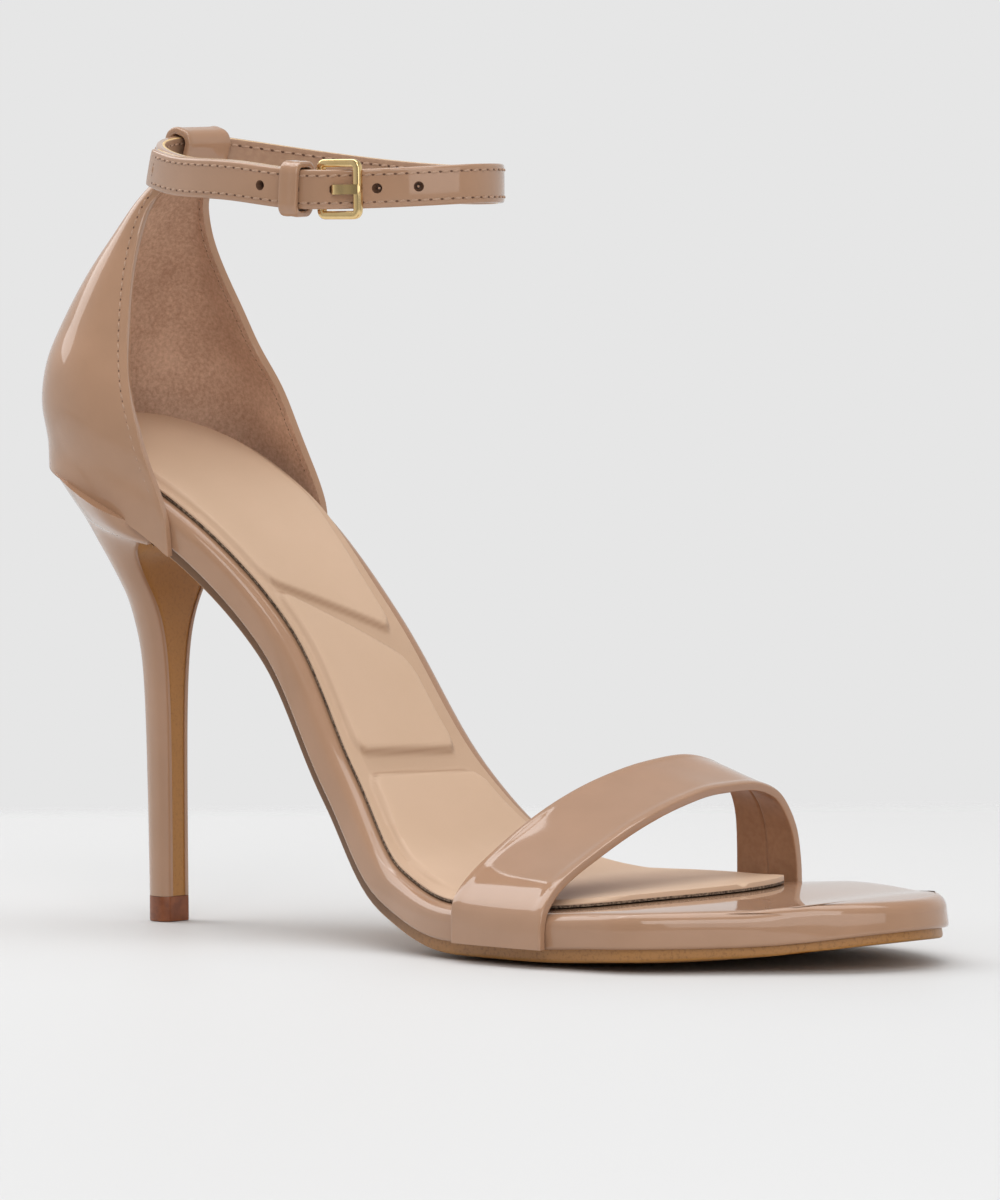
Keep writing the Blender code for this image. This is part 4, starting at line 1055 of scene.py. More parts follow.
# %% The heel
BREAST_X = 20.9
BREAST_TOP = 80.2
BREAST_ROUND = 7.2
HEEL_SEAT_PROUD = 1.0
HEEL_Y = -2.5
LIFT_HEIGHT = 5.2
HEEL = (
    dict(level=0.10, back_z=0.868, setback=0.6, half=22.9, breast=20.0, turn=0.00),
    dict(level=0.18, back_z=0.838, setback=1.8, half=20.6, breast=18.6, turn=0.22),
    dict(level=0.26, back_z=0.803, setback=3.6, half=18.2, breast=16.8, turn=0.44),
    dict(level=0.34, back_z=0.766, setback=5.6, half=16.0, breast=15.0, turn=0.64),
    dict(level=0.42, back_z=0.726, setback=7.7, half=13.6, breast=12.7, turn=0.83),
    dict(level=0.50, back_z=0.683, setback=9.2, half=10.8, breast=9.9, turn=1.00),
    dict(level=0.58, back_z=0.644, setback=10.2, half=8.2, breast=7.2, turn=1.00),
    dict(level=0.66, back_z=0.595, setback=11.0, half=6.3, breast=5.1, turn=1.00),
    dict(level=0.74, back_z=0.535, setback=12.2, half=5.0, breast=3.8, turn=1.00),
    dict(level=0.82, back_z=0.430, setback=12.8, half=4.3, breast=3.0, turn=1.00),
    dict(level=0.91, back_z=0.265, setback=13.2, half=4.0, breast=2.8, turn=1.00),
    dict(level=1.00, back_z=0.053, setback=13.6, half=4.0, breast=2.8, turn=1.00),
)


def breast_place(turned, offset):
    """Place (x, z) on the breast: turn 0 at the outsole, 1 where it is upright, 2 at the lift."""
    slope = rim_slope(HEEL_SEAT_FRONT + 5.0)
    lean = math.atan2(1.0, -slope)
    centre_x, centre_z = BREAST_X + BREAST_ROUND, BREAST_TOP - BREAST_ROUND
    if turned <= 1.0:
        angle = lean + (math.pi - lean) * turned
        radius = BREAST_ROUND + offset
        return centre_x + radius * math.cos(angle), centre_z + radius * math.sin(angle)
    low = LIFT_HEIGHT + 0.05
    return BREAST_X - offset, centre_z + (low - centre_z) * (turned - 1.0)


def heel_turn(row):
    """Share of the way round and down the breast at a row of the heel."""
    if row["turn"] < 0.999:
        return row["turn"]
    low, top = LIFT_HEIGHT + GAP, BREAST_TOP - BREAST_ROUND
    return 2.0 if row["level"] >= 1.0 else max(2.0 - (row["back_z"] * SEAT_HEIGHT - low) / (top - low), 1.0)


def d_section(s, side, half, breast):
    """Share of the depth, and half width, on a section with a round back and a flat front."""
    rounded = 0.74
    corner = rounded * (1.0 - CORNER)
    share = depth = corner + s * (1.0 - corner)
    width = half * arc_share(max(rounded - depth, 0.0) / rounded)
    if depth > rounded:
        width = half + (breast - half) * ((depth - rounded) / (1.0 - rounded)) ** 2
    if s < 0.5:
        share += rounded * (CORNER - arc_share(side * CORNER)) * (1.0 - s / 0.5) ** 2
    return share, width


def seat_under(x):
    """Height of the heel's seat under the wrapped board at a place x."""
    guess = x + 5.0
    for _ in range(16):
        guess += x - under_rim(guess, RIM_THICK + 0.05)[0]
    return under_rim(guess, RIM_THICK + 0.05)[1]


LIP = 0.9
RECESS = 0.55
heel_back_x = under_rim(0.0, RIM_THICK + GAP)[0] - HEEL_SEAT_PROUD
heel_front_x = breast_place(0.0, 0.0)[0]
heel_seat_half = full_half(10.0) + HEEL_SEAT_PROUD + 0.45


def heel_ring(index, s, side):
    """Point of one ring of the heel. Ring 0 is under the seat, the others follow the table."""
    row = HEEL[max(index - 1, 0)]
    behind = 0.0
    if s > 0.999:
        breast = row["breast"]
        lip = 1.0 - LIP / breast
        step = 2.0 / HEEL_SIDES
        if abs(side) < 1.0 - 1.5 * step:
            side = side * lip / (1.0 - 2.0 * step)
            behind = RECESS
        elif abs(side) < 1.0 - 0.5 * step:
            side = math.copysign(lip, side)
    if index == 0:
        share, width = d_section(s, side, heel_seat_half, HEEL[0]["breast"] + 0.4)
        x = heel_back_x + (heel_front_x - heel_back_x) * share
        return Vector((x, HEEL_Y + side * width, seat_under(x)))
    share, width = d_section(s, side, row["half"], row["breast"])
    height = LIFT_HEIGHT + 0.05 if row["level"] >= 1.0 else row["back_z"] * SEAT_HEIGHT
    near_x, near_z = breast_place(heel_turn(row), behind)
    return Vector((row["setback"] + (near_x - row["setback"]) * share, HEEL_Y + side * width,
                   height + (near_z - height) * share))


def through(points, key):
    """A smooth curve through points, at a key counted in points from the first."""
    index = min(int(key), len(points) - 2)
    part = key - index
    before, start = points[max(index - 1, 0)], points[index]
    end, after = points[index + 1], points[min(index + 2, len(points) - 1)]
    lead, trail = (end - before) * 0.5, (after - start) * 0.5
    cube, square = part ** 3, part ** 2
    return (start * (2 * cube - 3 * square + 1) + lead * (cube - 2 * square + part)
            + end * (3 * square - 2 * cube) + trail * (cube - square))


HEEL_SIDES = 18
ring_points = {}


def heel_place(s, t, w):
    """Place of a point of the heel: s from back to breast, t across, w up."""
    if (s, t) not in ring_points:
        ring_points[(s, t)] = [heel_ring(index, s, 2.0 * t - 1.0) for index in range(len(HEEL) + 1)]
    key = (1.0 - w) * len(HEEL)
    reach = min(0.4 + 0.3 * math.exp(-key), 0.5 * key, 0.5 * (len(HEEL) - key))
    return eased(lambda near: through(ring_points[(s, t)], near), key, max(reach, 0.0))


def heel_soften(first, second):
    if not on_face(first, second, 0, 1.0):
        return 0.0
    return 1.0 if on_face(first, second, 1, 0.0) or on_face(first, second, 1, 1.0) else 0.0


heel = cut_cube("heel_wrapped", (13, HEEL_SIDES - 1, 71))
carry(heel, heel_place, heel_soften)
finish(heel, [PATENT_FLAT], "heel", width=0.35, segments=3, angle=50.0)

# %% The heel's breast
def breast_cover(s, t, w):
    """Place of a point of the breast's leather: s down the heel, t across, w outward."""
    offset = RECESS - 0.02 if w < 0.5 else 0.22
    rows = [Vector((*breast_place(heel_turn(row), offset), row["breast"] - LIP + 0.05)) for row in HEEL]
    x, z, half = through(rows, s * (len(HEEL) - 1))
    return x, HEEL_Y + (2.0 * t - 1.0) * half, z


def breast_soften(first, second):
    return 1.0 if on_face(first, second, 2, 1.0) and (
        on_face(first, second, 1, 0.0) or on_face(first, second, 1, 1.0)) else 0.0


breast = cut_cube("breast_leather", (60, 7, 0))
carry(breast, breast_cover, breast_soften)
finish(breast, [SOLE_TAN], "heel_breast", width=0.15, segments=2)

# %% The top lift
lift = cut_cube("lift_block", (13, 13, 0))


def lift_place(s, t, w):
    """Place of a point of the lift, which carries on the heel's lowest section."""
    low = HEEL[-1]
    side = 2.0 * t - 1.0
    share, width = d_section(s, side, low["half"], low["breast"])
    x = low["setback"] + (BREAST_X - low["setback"]) * share
    return x, HEEL_Y + side * width, w * LIFT_HEIGHT


def lift_soften(first, second):
    if outline(first, second, 0.0) or outline(first, second, 1.0):
        return 1.0
    return heel_soften(first, second)


carry(lift, lift_place, lift_soften)
finish(lift, [RUBBER], "top_lift", width=0.22, segments=2)

# %% [markdown]
# ## The ankle strap
# The strap is two leathers glued back to back, with a pale edge where the lining shows, and
# a row of stitches along each side. It starts at the buckle, goes round the back through the
# loop, round the front, and passes over itself through the buckle and the keeper to its
# slanted tip. It is a cut cube carried round an oval, and its holes are punched by cones.

# %% The oval of the ankle strap
STRAP_WIDTH = 8.0
STRAP_THICK = 1.9
SLIDE_GAP = 0.4
ANKLE_CENTRE = Vector((66.0, -5.0, 155.6))
ANKLE_BACK_Y = -0.9
ANKLE_HALF_LENGTH = 42.5
ANKLE_HALF_WIDTH = 24.5
ANKLE_TILT = 2.6
ANKLE_SAG = 1.5
ANKLE_ARCH = 1.0
LOOP_LENGTH = 12.8
LOOP_WALL = 1.4
LOOP_LEAN = 18.0
LOOP_FLAT = 1.3
LAYER = STRAP_THICK + GAP
STRAP_FACE = 0.47 * STRAP_THICK + 0.11
PIVOT_ANGLE = 63.4
KEEPER_ANGLE = 70.8
HOLE_ANGLE = 57.6
TIP_ANGLE = 134.0
TIP_FROM = 72.0 / 74.0
TIP_SLANT = 4.0
LIFT_OFF = 42.0
HOLE_PITCH = 8.2
HOLES = 5
BUCKLE_BAR = 1.7
BUCKLE_LENGTH = 10.4


def ankle_centre(angle):
    """Middle line of the ankle strap. Angle 0 is the front and 90 the outer side."""
    turned = math.radians(angle)
    cosine = math.cos(turned)
    across = ANKLE_HALF_WIDTH * math.sin(turned)
    x = ANKLE_CENTRE.x + ANKLE_HALF_LENGTH * cosine
    y = ANKLE_CENTRE.y - across
    if cosine < 0.0:
        x += LOOP_FLAT * math.exp(-((across / (0.5 * LOOP_LENGTH)) ** 2))
        y += (ANKLE_BACK_Y - ANKLE_CENTRE.y) * cosine ** 6
    z = ANKLE_CENTRE.z - ANKLE_TILT * cosine + ANKLE_SAG * math.cos(2.0 * turned)
    arch = min(max((angle % 360.0 - 66.0) / 54.0, 0.0), 1.0)
    z += ANKLE_ARCH * math.sin(math.pi * arch) ** 2
    return Vector((x, y, z))


def ankle_frame(angle):
    """Outward, forward and upward directions of the strap at an angle."""
    forward = (ankle_centre(angle - 0.5) - ankle_centre(angle + 0.5)).normalized()
    lean = math.radians(LOOP_LEAN) * max(-math.cos(math.radians(angle)), 0.0) ** 3
    out = forward.cross(Vector((math.sin(lean), 0.0, math.cos(lean)))).normalized()
    return out, forward, out.cross(forward)


def ankle_place(angle, offset, rise):
    """Point beside the strap's middle line, by an offset outward and a rise upward."""
    out, _, upright = ankle_frame(angle)
    return ankle_centre(angle) + out * offset + upright * rise


def layer_offset(angle):
    """How far the strap's free end lies outside the layer that it passes over."""
    return LAYER * ramp(angle - 360.0, LIFT_OFF, PIVOT_ANGLE)


def angle_along(angle, distance):
    """Angle reached after going a distance along the oval."""
    step = 0.25 if distance > 0.0 else -0.25
    gone = 0.0
    while gone < abs(distance):
        here = ankle_centre(angle)
        angle += step
        gone += (ankle_centre(angle) - here).length
    return angle


STRAP_START = angle_along(PIVOT_ANGLE, 0.5 * BUCKLE_BAR + GAP)
STRAP_END = 360.0 + TIP_ANGLE
print("strap from", round(STRAP_START, 1), "to", STRAP_END, "degrees")

# %% The ankle strap
def strap_angle(s, t):
    """Angle at a share of the strap, slanted at its tip."""
    tip = max(s - TIP_FROM, 0.0) / (1.0 - TIP_FROM)
    return STRAP_START + (STRAP_END - STRAP_START) * s + TIP_SLANT * tip * (0.5 - t)


def strap_place(s, t, w):
    """Place of a point of the ankle strap: s along it, t up, w outward."""
    angle = strap_angle(s, t)
    rise = (t - 0.5) * STRAP_WIDTH
    puffed = 1.0 if w > 0.9 else -0.5 if w < 0.1 else 0.0
    crowned = 0.12 * (1.0 - (2.0 * t - 1.0) ** 4) * puffed
    offset = layer_offset(angle) + (w - 0.5) * STRAP_THICK * 0.94 + crowned
    return ankle_place(angle, offset, rise)


def strap_soften(first, second):
    long_edge = on_face(first, second, 1, 0.0) or on_face(first, second, 1, 1.0)
    end_edge = on_face(first, second, 0, 1.0)
    if on_face(first, second, 2, 1.0) and (long_edge or end_edge):
        return 1.0
    return 0.5 if on_face(first, second, 2, 0.0) and (long_edge or end_edge) else 0.0


def strap_paint(s, t, w):
    if 0.001 < t < 0.999 and 0.001 < s < 0.999:
        return 1 if w < 0.5 else 0
    return 2 if w < 0.35 else 0


strap = cut_cube("ankle_strap_stitched", (299, 11, 2))
carry(strap, strap_place, strap_soften, strap_paint)
for material in (PATENT, STRAP_LINING, STRAP_EDGE, HOLE_WALL_SHADE):
    strap.data.materials.append(material)
round_edges(strap, 0.45, 3)

# %% The holes of the ankle strap
for index in range(HOLES):
    angle = angle_along(HOLE_ANGLE, (index - HOLES // 2) * HOLE_PITCH)
    out = ankle_frame(angle)[0]
    centre = to_row(ankle_place(angle, layer_offset(angle + 360.0), 0.0))
    bpy.ops.object.select_all(action="DESELECT")
    # The punch cuts the patent cleanly and only pricks the lining, so the hole is a narrow cone.
    bpy.ops.mesh.primitive_cone_add(vertices=28, radius1=0.14 * MM, radius2=1.1 * MM, depth=2.3 * MM,
                                    location=centre, rotation=out.to_track_quat("Z", "Y").to_euler())
    punch = bpy.context.object
    # The hole's walls take the dark finish: painted shade inside the hole.
    punch.data.materials.append(HOLE_WALL_SHADE)
    for face in punch.data.polygons:
        face.material_index = 0
    cut = strap.modifiers.new("hole", "BOOLEAN")
    cut.operation = "DIFFERENCE"
    cut.solver = "EXACT"
    cut.material_mode = "TRANSFER"
    cut.object = punch
    only(strap)
    bpy.ops.object.modifier_apply(modifier=cut.name)
    bpy.data.objects.remove(punch, do_unlink=True)
finish(strap, [], "ankle_strap", angle=35.0)

# %% [markdown]
# ## The loop and the keeper
# A broad loop of patent leather on top of the counter holds the strap at the back, and a
# narrow keeper beside the buckle holds its free end. Both are closed bands with folded
# edges: a cut cube is bent round a rounded rectangle until its ends meet, and the meeting
# edges are merged.

# %% The loop and the keeper
def round_loop(half_x, half_y, radius, share):
    """Place and outward direction at a share of the way round a rounded rectangle."""
    flat_x, flat_y, arc = half_x - radius, half_y - radius, 0.5 * math.pi * radius
    sides = ((flat_y, arc, 0), (flat_x, arc, 1), (flat_y, arc, 2), (flat_x, arc, 3))
    goal = (share % 1.0) * (4.0 * (flat_x + flat_y + arc))
    for flat, bend, quarter in sides:
        turned = quarter * 0.5 * math.pi
        ahead = Vector((-math.sin(turned), math.cos(turned)))
        out = Vector((math.cos(turned), math.sin(turned)))
        middle = out * (half_x if quarter % 2 == 0 else half_y)
        if goal <= 2.0 * flat:
            return middle + ahead * (goal - flat), out
        goal -= 2.0 * flat
        if goal <= bend:
            angle = turned + goal / radius
            away = Vector((math.cos(angle), math.sin(angle)))
            return middle - out * radius + ahead * flat + away * radius, away
        goal -= bend
    return Vector((half_x, -flat_y)), Vector((1.0, 0.0))


def leather_band(name, node, centre, axes, half_thick, half_tall, length, wall, radius, swell):
    """A closed leather band with folded edges round a strap."""
    axis, across, upright = axes
    around, wide = 96, 14

    def place(s, t, w):
        spot, out = round_loop(half_thick, half_tall, radius, s)
        edge = min(t, 1.0 - t) * length
        proud = swell * math.exp(-((edge - 1.0) / 0.7) ** 2) if w > 0.5 else 0.0
        spot = spot + out * (wall * w + proud)
        return centre + axis * (t - 0.5) * length + across * spot.x + upright * spot.y

    def soften(first, second):
        if not (on_face(first, second, 2, 0.0) or on_face(first, second, 2, 1.0)):
            return 0.0
        return 1.0 if on_face(first, second, 1, 0.0) or on_face(first, second, 1, 1.0) else 0.0

    band = cut_cube(name, (around - 1, wide - 1, 0))
    only(band)
    bpy.ops.object.mode_set(mode="EDIT")
    bpy.ops.mesh.select_mode(type="FACE")
    bpy.ops.mesh.select_all(action="DESELECT")
    bpy.ops.object.mode_set(mode="OBJECT")
    for face in band.data.polygons:
        face.select = abs(face.normal.x) > 0.9
    bpy.ops.object.mode_set(mode="EDIT")
    bpy.ops.mesh.delete(type="ONLY_FACE")
    bpy.ops.object.mode_set(mode="OBJECT")
    mesh = band.data
    shares = [tuple(round(value + 0.5, 6) for value in point.co) for point in mesh.vertices]
    mark_edges(mesh, shares, soften)
    for point, share in zip(mesh.vertices, shares):
        point.co = to_row(place(*share))
    bpy.ops.object.mode_set(mode="EDIT")
    bpy.ops.mesh.select_all(action="SELECT")
    bpy.ops.mesh.remove_doubles(threshold=0.00001)
    bpy.ops.mesh.normals_make_consistent(inside=False)
    bpy.ops.object.mode_set(mode="OBJECT")
    face_outwards(band)
    finish(band, [PATENT], node, width=0.42, segments=3)


out, forward, upright = ankle_frame(180.0)
middle = ankle_centre(180.0)
bend = 0.0
for side in (-0.5, 0.5):
    reach = angle_along(180.0, side * (LOOP_LENGTH + STRAP_THICK))
    bend = max(bend, (ankle_centre(reach) - middle).dot(-out))
leather_band("strap_loop_folded", "strap_loop", middle - out * 0.5 * bend, (forward, out, upright),
             0.5 * (STRAP_THICK + bend) + SLIDE_GAP, 0.5 * STRAP_WIDTH + SLIDE_GAP,
             LOOP_LENGTH, LOOP_WALL, radius=1.5, swell=0.12)

KEEPER_LENGTH = 4.2
KEEPER_WALL = 1.2
out, forward, upright = ankle_frame(KEEPER_ANGLE)
leather_band("keeper_folded", "keeper", ankle_place(KEEPER_ANGLE, 0.5 * LAYER, 0.0), (forward, out, upright),
             0.5 * (LAYER + STRAP_THICK) + SLIDE_GAP, 0.5 * STRAP_WIDTH + SLIDE_GAP,
             KEEPER_LENGTH, KEEPER_WALL, radius=1.2, swell=0.08)

# %% [markdown]
# ## The buckle
# The buckle is a cast frame with flat, polished faces and rounded corners, and a prong that
# turns on the back bar and rests on the front bar. By hand it is a plane with its corners
# rounded, inset by the width of the bar, opened, extruded and bevelled, so it is made that
# way here, and then laid over the strap.

# %% The buckle's frame
BUCKLE_CORNER = 1.9
BUCKLE_THICK = 1.5
front_angle = angle_along(PIVOT_ANGLE, -(BUCKLE_LENGTH - BUCKLE_BAR))
over = layer_offset(front_angle + 360.0) + 0.5 * STRAP_THICK + GAP + 0.5 * BUCKLE_BAR + 0.15
pivot = ankle_place(PIVOT_ANGLE, 0.0, 0.0)
front = ankle_place(front_angle, over, 0.0)
lengthwise = (front - pivot).normalized()
upright = ankle_frame(PIVOT_ANGLE)[2]
facing = lengthwise.cross(upright).normalized()
if facing.dot(ankle_frame(PIVOT_ANGLE)[0]) < 0.0:
    facing = -facing
upright = facing.cross(lengthwise).normalized()
long_side = (front - pivot).length + BUCKLE_BAR
tall_side = STRAP_WIDTH + 2.0 * SLIDE_GAP + 2.0 * BUCKLE_BAR

bpy.ops.object.select_all(action="DESELECT")
bpy.ops.mesh.primitive_plane_add(size=1.0)
buckle = bpy.context.object
buckle.name = "buckle_frame_cast"
buckle.scale = (long_side * MM, tall_side * MM, 1.0)
bpy.ops.object.transform_apply(location=False, rotation=False, scale=True)
bpy.ops.object.mode_set(mode="EDIT")
bpy.ops.mesh.select_mode(type="VERT")
bpy.ops.mesh.select_all(action="SELECT")
bpy.ops.mesh.bevel(offset=BUCKLE_CORNER * MM, segments=6, affect="VERTICES")
bpy.ops.mesh.select_mode(type="FACE")
bpy.ops.mesh.select_all(action="SELECT")
bpy.ops.mesh.inset(thickness=BUCKLE_BAR * MM, use_even_offset=True)
bpy.ops.mesh.delete(type="FACE")
bpy.ops.mesh.select_all(action="SELECT")
bpy.ops.mesh.extrude_region_move(TRANSFORM_OT_translate={"value": (0.0, 0.0, BUCKLE_THICK * MM)})
bpy.ops.mesh.select_all(action="SELECT")
bpy.ops.mesh.normals_make_consistent(inside=False)
bpy.ops.object.mode_set(mode="OBJECT")
weights = buckle.data.attributes.new("bevel_weight_edge", "FLOAT", "EDGE")
points = buckle.data.vertices
for edge, weight in zip(buckle.data.edges, weights.data):
    first, second = (points[v].co for v in edge.vertices)
    flat = abs(first.z - second.z) < 1e-6
    rim_edge = flat and any(set(edge.vertices) <= set(face.vertices) and abs(face.normal.z) < 0.5
                            for face in buckle.data.polygons)
    weight.value = 1.0 if rim_edge else 0.0
for point in points:
    local = point.co.copy()
    local.z -= 0.5 * BUCKLE_THICK * MM
    point.co = to_row((pivot + front) * 0.5) + lengthwise * local.x + upright * local.y + facing * local.z
finish(buckle, [GILT], "buckle_frame", width=0.42, segments=3, angle=30.0)

# %% The prong
PRONG_WIRE = 1.1
outer = layer_offset(HOLE_ANGLE + 360.0)
rest = over + 0.5 * (BUCKLE_BAR + PRONG_WIRE) + 0.05
top = outer + 0.5 * STRAP_THICK + GAP + 0.5 * PRONG_WIRE
low = outer - 0.5 * STRAP_THICK - GAP - 0.5 * PRONG_WIRE
start = angle_along(PIVOT_ANGLE, -(0.5 * (BUCKLE_BAR + PRONG_WIRE) + GAP))
route = [
    ankle_place(start, low - 0.1, 0.0),
    ankle_place(0.5 * (start + HOLE_ANGLE), low - 0.1, 0.0),
    ankle_place(HOLE_ANGLE + 0.6, low + 0.1, 0.0),
    ankle_place(HOLE_ANGLE + 0.1, outer - 0.5, 0.0),
    ankle_place(HOLE_ANGLE - 0.1, outer + 0.6, 0.0),
    ankle_place(HOLE_ANGLE - 0.8, top + 0.1, 0.0),
    ankle_place(0.45 * HOLE_ANGLE + 0.55 * front_angle, 0.4 * top + 0.6 * rest, 0.0),
    ankle_place(front_angle + 0.6, rest + 0.02, 0.0),
    ankle_place(front_angle - 1.4, rest - 0.02, 0.0),
]
prong = cut_cube("prong_flat", (47, 3, 3))


def prong_place(s, t, w):
    """Place of a point of the prong: s along its route, t across, w through its thickness."""
    key = s * (len(route) - 1)
    here = through(route, key)
    after, before = through(route, min(key + 0.05, len(route) - 1)), through(route, max(key - 0.05, 0.0))
    ahead = (after - before).normalized()
    up = ankle_frame(HOLE_ANGLE)[2]
    away = ahead.cross(up).normalized()
    wide = 1.0 if s > 0.55 else 0.6
    end = ramp(s, 0.0, 0.02) * (1.0 - 0.35 * ramp(s, 0.94, 1.0))
    across = (2.0 * t - 1.0) * wide * end
    deep = (2.0 * w - 1.0) * 0.5 * PRONG_WIRE * end
    return here + up * across + away * deep


def prong_soften(first, second):
    long_edge = abs(first[1] - second[1]) < 1e-4 and abs(first[2] - second[2]) < 1e-4
    at_corner = min(first[1], 1.0 - first[1]) < 1e-4 and min(first[2], 1.0 - first[2]) < 1e-4
    ends = on_face(first, second, 0, 1.0) and (
        any(on_face(first, second, axis, value) for axis in (1, 2) for value in (0.0, 1.0)))
    return 1.0 if (long_edge and at_corner) or ends else 0.0


carry(prong, prong_place, prong_soften)
finish(prong, [GILT], "buckle_prong", width=0.25, segments=3)

# %% [markdown]
# ## The stitching
# A lockstitch shows as short slanting threads with a needle hole at each end. One thread and
# one hole are modelled, and copied along each seam at a pitch of 2.3 mm, turned to follow it.
# A strap's threads are then joined to one piece, and its needle holes to another.

# %% Sewing helpers
STITCH_PITCH = 2.3
STITCH_SLANT = math.radians(7.0)
SEAM_SPARE = 0.6
THREAD_SIZE = (1.75, 0.56, 0.44)
NEEDLE_HOLE_SIZE = (0.72, 0.50, 0.14)


def seed(name, size, rings, material):
    """One small rounded body, used for every copy in a seam."""
    bpy.ops.object.select_all(action="DESELECT")
    bpy.ops.mesh.primitive_uv_sphere_add(segments=8, ring_count=rings, radius=0.5)
    thing = bpy.context.object
    thing.name = name
    thing.scale = [value * MM for value in size]
    bpy.ops.object.transform_apply(location=False, rotation=False, scale=True)
    thing.data.materials.append(material)
    return thing


def seam_points(route):
    """Places along a route of (place, out) pairs, a pitch apart, with the way ahead at each."""
    steps = [0.0]
    for before, after in zip(route, route[1:]):
        steps.append(steps[-1] + (after[0] - before[0]).length)
    count = int((steps[-1] - 2.0 * SEAM_SPARE) / STITCH_PITCH)
    first = 0.5 * (steps[-1] - count * STITCH_PITCH)
    places, index = [], 0
    for number in range(count + 1):
        goal = first + number * STITCH_PITCH
        while index < len(steps) - 2 and steps[index + 1] < goal:
            index += 1
        part = (goal - steps[index]) / max(steps[index + 1] - steps[index], 1e-9)
        here = route[index][0].lerp(route[index + 1][0], part)
        away = route[index][1].lerp(route[index + 1][1], part).normalized()
        ahead = (route[index + 1][0] - route[index][0]).normalized()
        places.append((here, away, ahead))
    return places


def sew(name, routes, size=1.0):
    """Copies of a thread and of a needle hole along the routes, joined to two pieces."""
    thread = seed(name + "_thread", [value * size for value in THREAD_SIZE], 6, THREAD)
    # Each needle hole is a flat dark disc: painted shade of the pit.
    hole = seed(name + "_hole", [value * size for value in NEEDLE_HOLE_SIZE], 4, NEEDLE_HOLE_SHADE)
    made = {thread: [], hole: []}
    for route in routes:
        places = seam_points(route)
        for number, (here, away, ahead) in enumerate(places):
            side = away.cross(ahead).normalized()
            for kind, shift in ((thread, 0.5), (hole, 0.0)):
                if kind is thread and number == len(places) - 1:
                    continue
                copy = kind.copy()
                copy.data = kind.data.copy()
                scene.collection.objects.link(copy)
                turned = Matrix((ahead, side, away)).transposed().to_4x4()
                spin = Matrix.Rotation(STITCH_SLANT if kind is thread else 0.0, 4, "Z")
                sunk = -0.05 if kind is thread else -0.035
                spot = to_row(here + ahead * STITCH_PITCH * shift + away * sunk)
                copy.matrix_world = Matrix.Translation(spot) @ turned @ spin
                made[kind].append(copy)
    for kind, copies in made.items():
        bpy.ops.object.select_all(action="DESELECT")
        for copy in copies:
            copy.select_set(True)
        bpy.context.view_layer.objects.active = copies[0]
        bpy.ops.object.join()
        joined = bpy.context.object
        bpy.ops.object.transform_apply(location=True, rotation=True, scale=True)
        joined.name = kind.name + "s"
        bpy.data.objects.remove(kind, do_unlink=True)
        bpy.ops.object.shade_smooth()
        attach(joined, "root")
        print(joined.name, len(copies), "copies")


# %% The seams of the ankle strap
STITCH_IN = 1.25
HALF_SEAM = 0.5 * STRAP_WIDTH - STITCH_IN
SEAM_FIRST, TIP_SHARE = 0.004, 0.9885
ROUTE_STEPS = 413


def strap_route(rise, outside):
    """A line along one face of the ankle strap, from the buckle to the tip."""
    route = []
    for index in range(ROUTE_STEPS + 1):
        s = SEAM_FIRST + (TIP_SHARE - SEAM_FIRST) * index / ROUTE_STEPS
        angle = strap_angle(s, 0.5 + rise / STRAP_WIDTH)
        out = ankle_frame(angle)[0]
        face = layer_offset(angle) + (STRAP_FACE if outside else -STRAP_FACE)
        route.append((ankle_place(angle, face, rise), out if outside else -out))
    return route


tip_line = []
for index in range(21):
    rise = HALF_SEAM * (1.0 - 2.0 * index / 20.0)
    angle = strap_angle(TIP_SHARE, 0.5 + rise / STRAP_WIDTH)
    tip_line.append((ankle_place(angle, layer_offset(angle) + STRAP_FACE, rise), ankle_frame(angle)[0]))
sew("strap_seam", [
    strap_route(HALF_SEAM, True),
    strap_route(-HALF_SEAM, True),
    tip_line,
    strap_route(HALF_SEAM, False),
    strap_route(-HALF_SEAM, False),
])

# %% The seams of the counter
QUARTER_TOP = 0.985


def counter_route(inside_edge, outer_side, outside, low):
    """A line up one front edge of the counter, a set distance from the edge."""
    route = []
    for index in range(121):
        level = low + (QUARTER_TOP - low) * index / 120.0
        stations = [counter_inner(0.1 * k, level) for k in range(11)]
        row = sum((after - before).length for before, after in zip(stations, stations[1:]))
        s = inside_edge / row
        s = s if outer_side else 1.0 - s
        out = counter_out(s, level)
        here = counter_inner(s, level)
        route.append((here + out * (COUNTER_WALL + 0.02), out) if outside else (here, -out))
    return route


sew("quarter_seam", [
    counter_route(2.4, True, True, 0.16),
    counter_route(2.4, False, True, 0.16),
    counter_route(2.2, True, False, 0.30),
    counter_route(2.2, False, False, 0.22),
], size=0.85)

# %% [markdown]
# ## The studio
# The photograph has a pale floor that ends in a soft line, a light grey distance and very
# soft light from above. The floor here is a sheet that stops behind the shoe, square to the
# camera, with a faded edge. The distance is a plain pale grey where the camera looks at it,
# and the room that lights the shoe is darker toward the camera, so that the patent leather
# mirrors soft lights with darker places between them, as in a real studio.

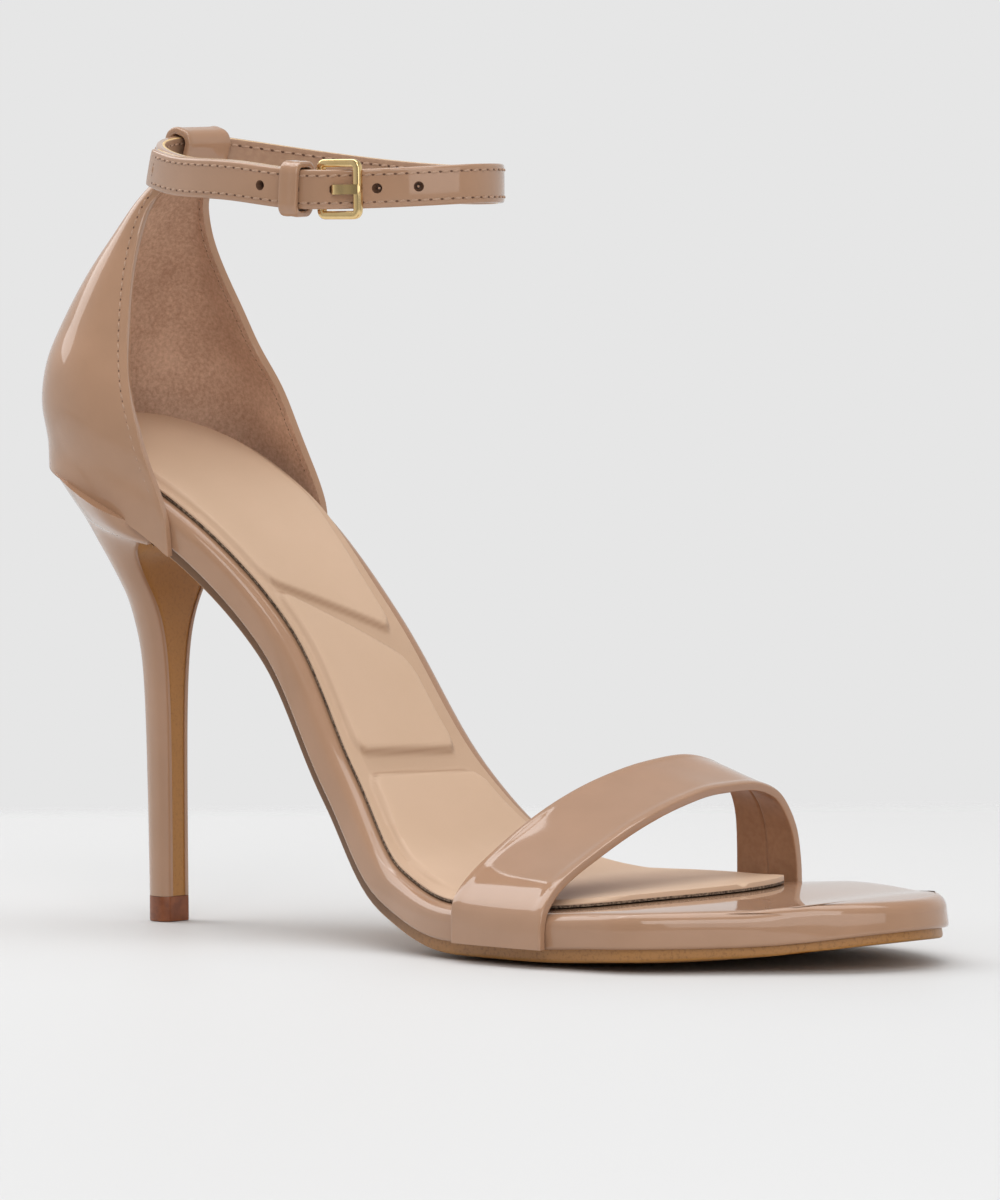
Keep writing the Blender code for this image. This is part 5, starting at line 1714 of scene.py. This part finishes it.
# %% The floor
FLOOR_BEHIND = 0.372
bpy.ops.object.select_all(action="DESELECT")
bpy.ops.mesh.primitive_grid_add(x_subdivisions=8, y_subdivisions=8, size=1.0)
floor = bpy.context.object
floor.name = "studio_floor"
flat_back = Vector((back.x, back.y, 0.0)).normalized()
flat_side = Vector((-flat_back.y, flat_back.x, 0.0))
for point in floor.data.vertices:
    sideways, forwards = point.co.x * 5.0, (point.co.y + 0.5) * 4.0
    point.co = flat_side * sideways + flat_back * (forwards - FLOOR_BEHIND) + Vector((0.0, 0.0, -0.0001))
floor_finish, tree, shader, place = finish_of("studio_floor_white")
shader.inputs["Base Color"].default_value = colour("#D8D8D8")
shader.inputs["Roughness"].default_value = 0.55
shader.inputs["Specular IOR Level"].default_value = 0.25
turned = add(tree, "ShaderNodeVectorMath", {0: place, 1: tuple(flat_back)}, operation="DOT_PRODUCT")
fade = add(tree, "ShaderNodeMapRange", {
    "Value": turned.outputs["Value"], "From Min": -FLOOR_BEHIND, "From Max": -FLOOR_BEHIND + 0.04,
    "To Min": 0.0, "To Max": 1.0}, interpolation_type="SMOOTHSTEP")
tree.links.new(fade.outputs["Result"], shader.inputs["Alpha"])
floor.data.materials.append(floor_finish)

# %% The world and the lights
world = bpy.data.worlds.new("studio_distance")
scene.world = world
world.use_nodes = True
tree = world.node_tree
sky = tree.nodes["Background"]
direction = add(tree, "ShaderNodeTexCoord").outputs["Generated"]
frontness = add(tree, "ShaderNodeVectorMath", {0: direction, 1: tuple(flat_back)}, operation="DOT_PRODUCT")
front_shade = add(tree, "ShaderNodeMapRange", {
    "Value": frontness.outputs["Value"], "From Min": -0.3, "From Max": 0.95,
    "To Min": 0.72, "To Max": 0.20}, interpolation_type="SMOOTHSTEP")
upness = add(tree, "ShaderNodeSeparateXYZ", {"Vector": direction})
lifted = add(tree, "ShaderNodeMapRange", {
    "Value": upness.outputs["Z"], "From Min": 0.25, "From Max": 0.75, "To Min": 0.0, "To Max": 1.0},
    interpolation_type="SMOOTHSTEP")
room = add(tree, "ShaderNodeMix", {
    "Factor": lifted.outputs["Result"], "A": front_shade.outputs["Result"], "B": 0.35}, data_type="FLOAT")
backdrop = colour("#E6E6E6")[0]
seen = add(tree, "ShaderNodeLightPath").outputs["Is Camera Ray"]
shown = add(tree, "ShaderNodeMix", {
    "Factor": seen, "A": room.outputs["Result"], "B": backdrop}, data_type="FLOAT")
tree.links.new(shown.outputs["Result"], sky.inputs["Strength"])
sky.inputs["Color"].default_value = (1.0, 1.0, 1.0, 1.0)


def softbox(name, place, aim, size, power):
    """A rectangular, white soft light that looks at a point."""
    data = bpy.data.lights.new(name, "AREA")
    data.shape = "RECTANGLE"
    data.size, data.size_y = size
    data.energy = power
    light = bpy.data.objects.new(name, data)
    scene.collection.objects.link(light)
    light.location = place
    light.rotation_mode = "QUATERNION"
    light.rotation_quaternion = (Vector(aim) - Vector(place)).to_track_quat("-Z", "Y")


# Three large softboxes from above give the broad highlights, and a low, wide one beside
# the toe lights the platform's edge and the sock under the strap.
middle_point = (0.0, 0.0, 0.06)
toe_point = (0.09, -0.02, 0.01)
softbox("overhead", (0.0, 0.1, 1.3), middle_point, (1.1, 1.0), 8.5)
softbox("left_high", (-0.85, -0.10, 0.98), middle_point, (0.9, 1.1), 8.0)
softbox("front_fill", (1.15, -1.25, 1.25), middle_point, (1.2, 1.0), 11.5)
softbox("toe_fill", (0.95, -0.42, 0.30), toe_point, (1.1, 0.4), 2.0)
scene.view_settings.view_transform = "Standard"
scene.view_settings.look = "None"
print("floor, world and lights in place")
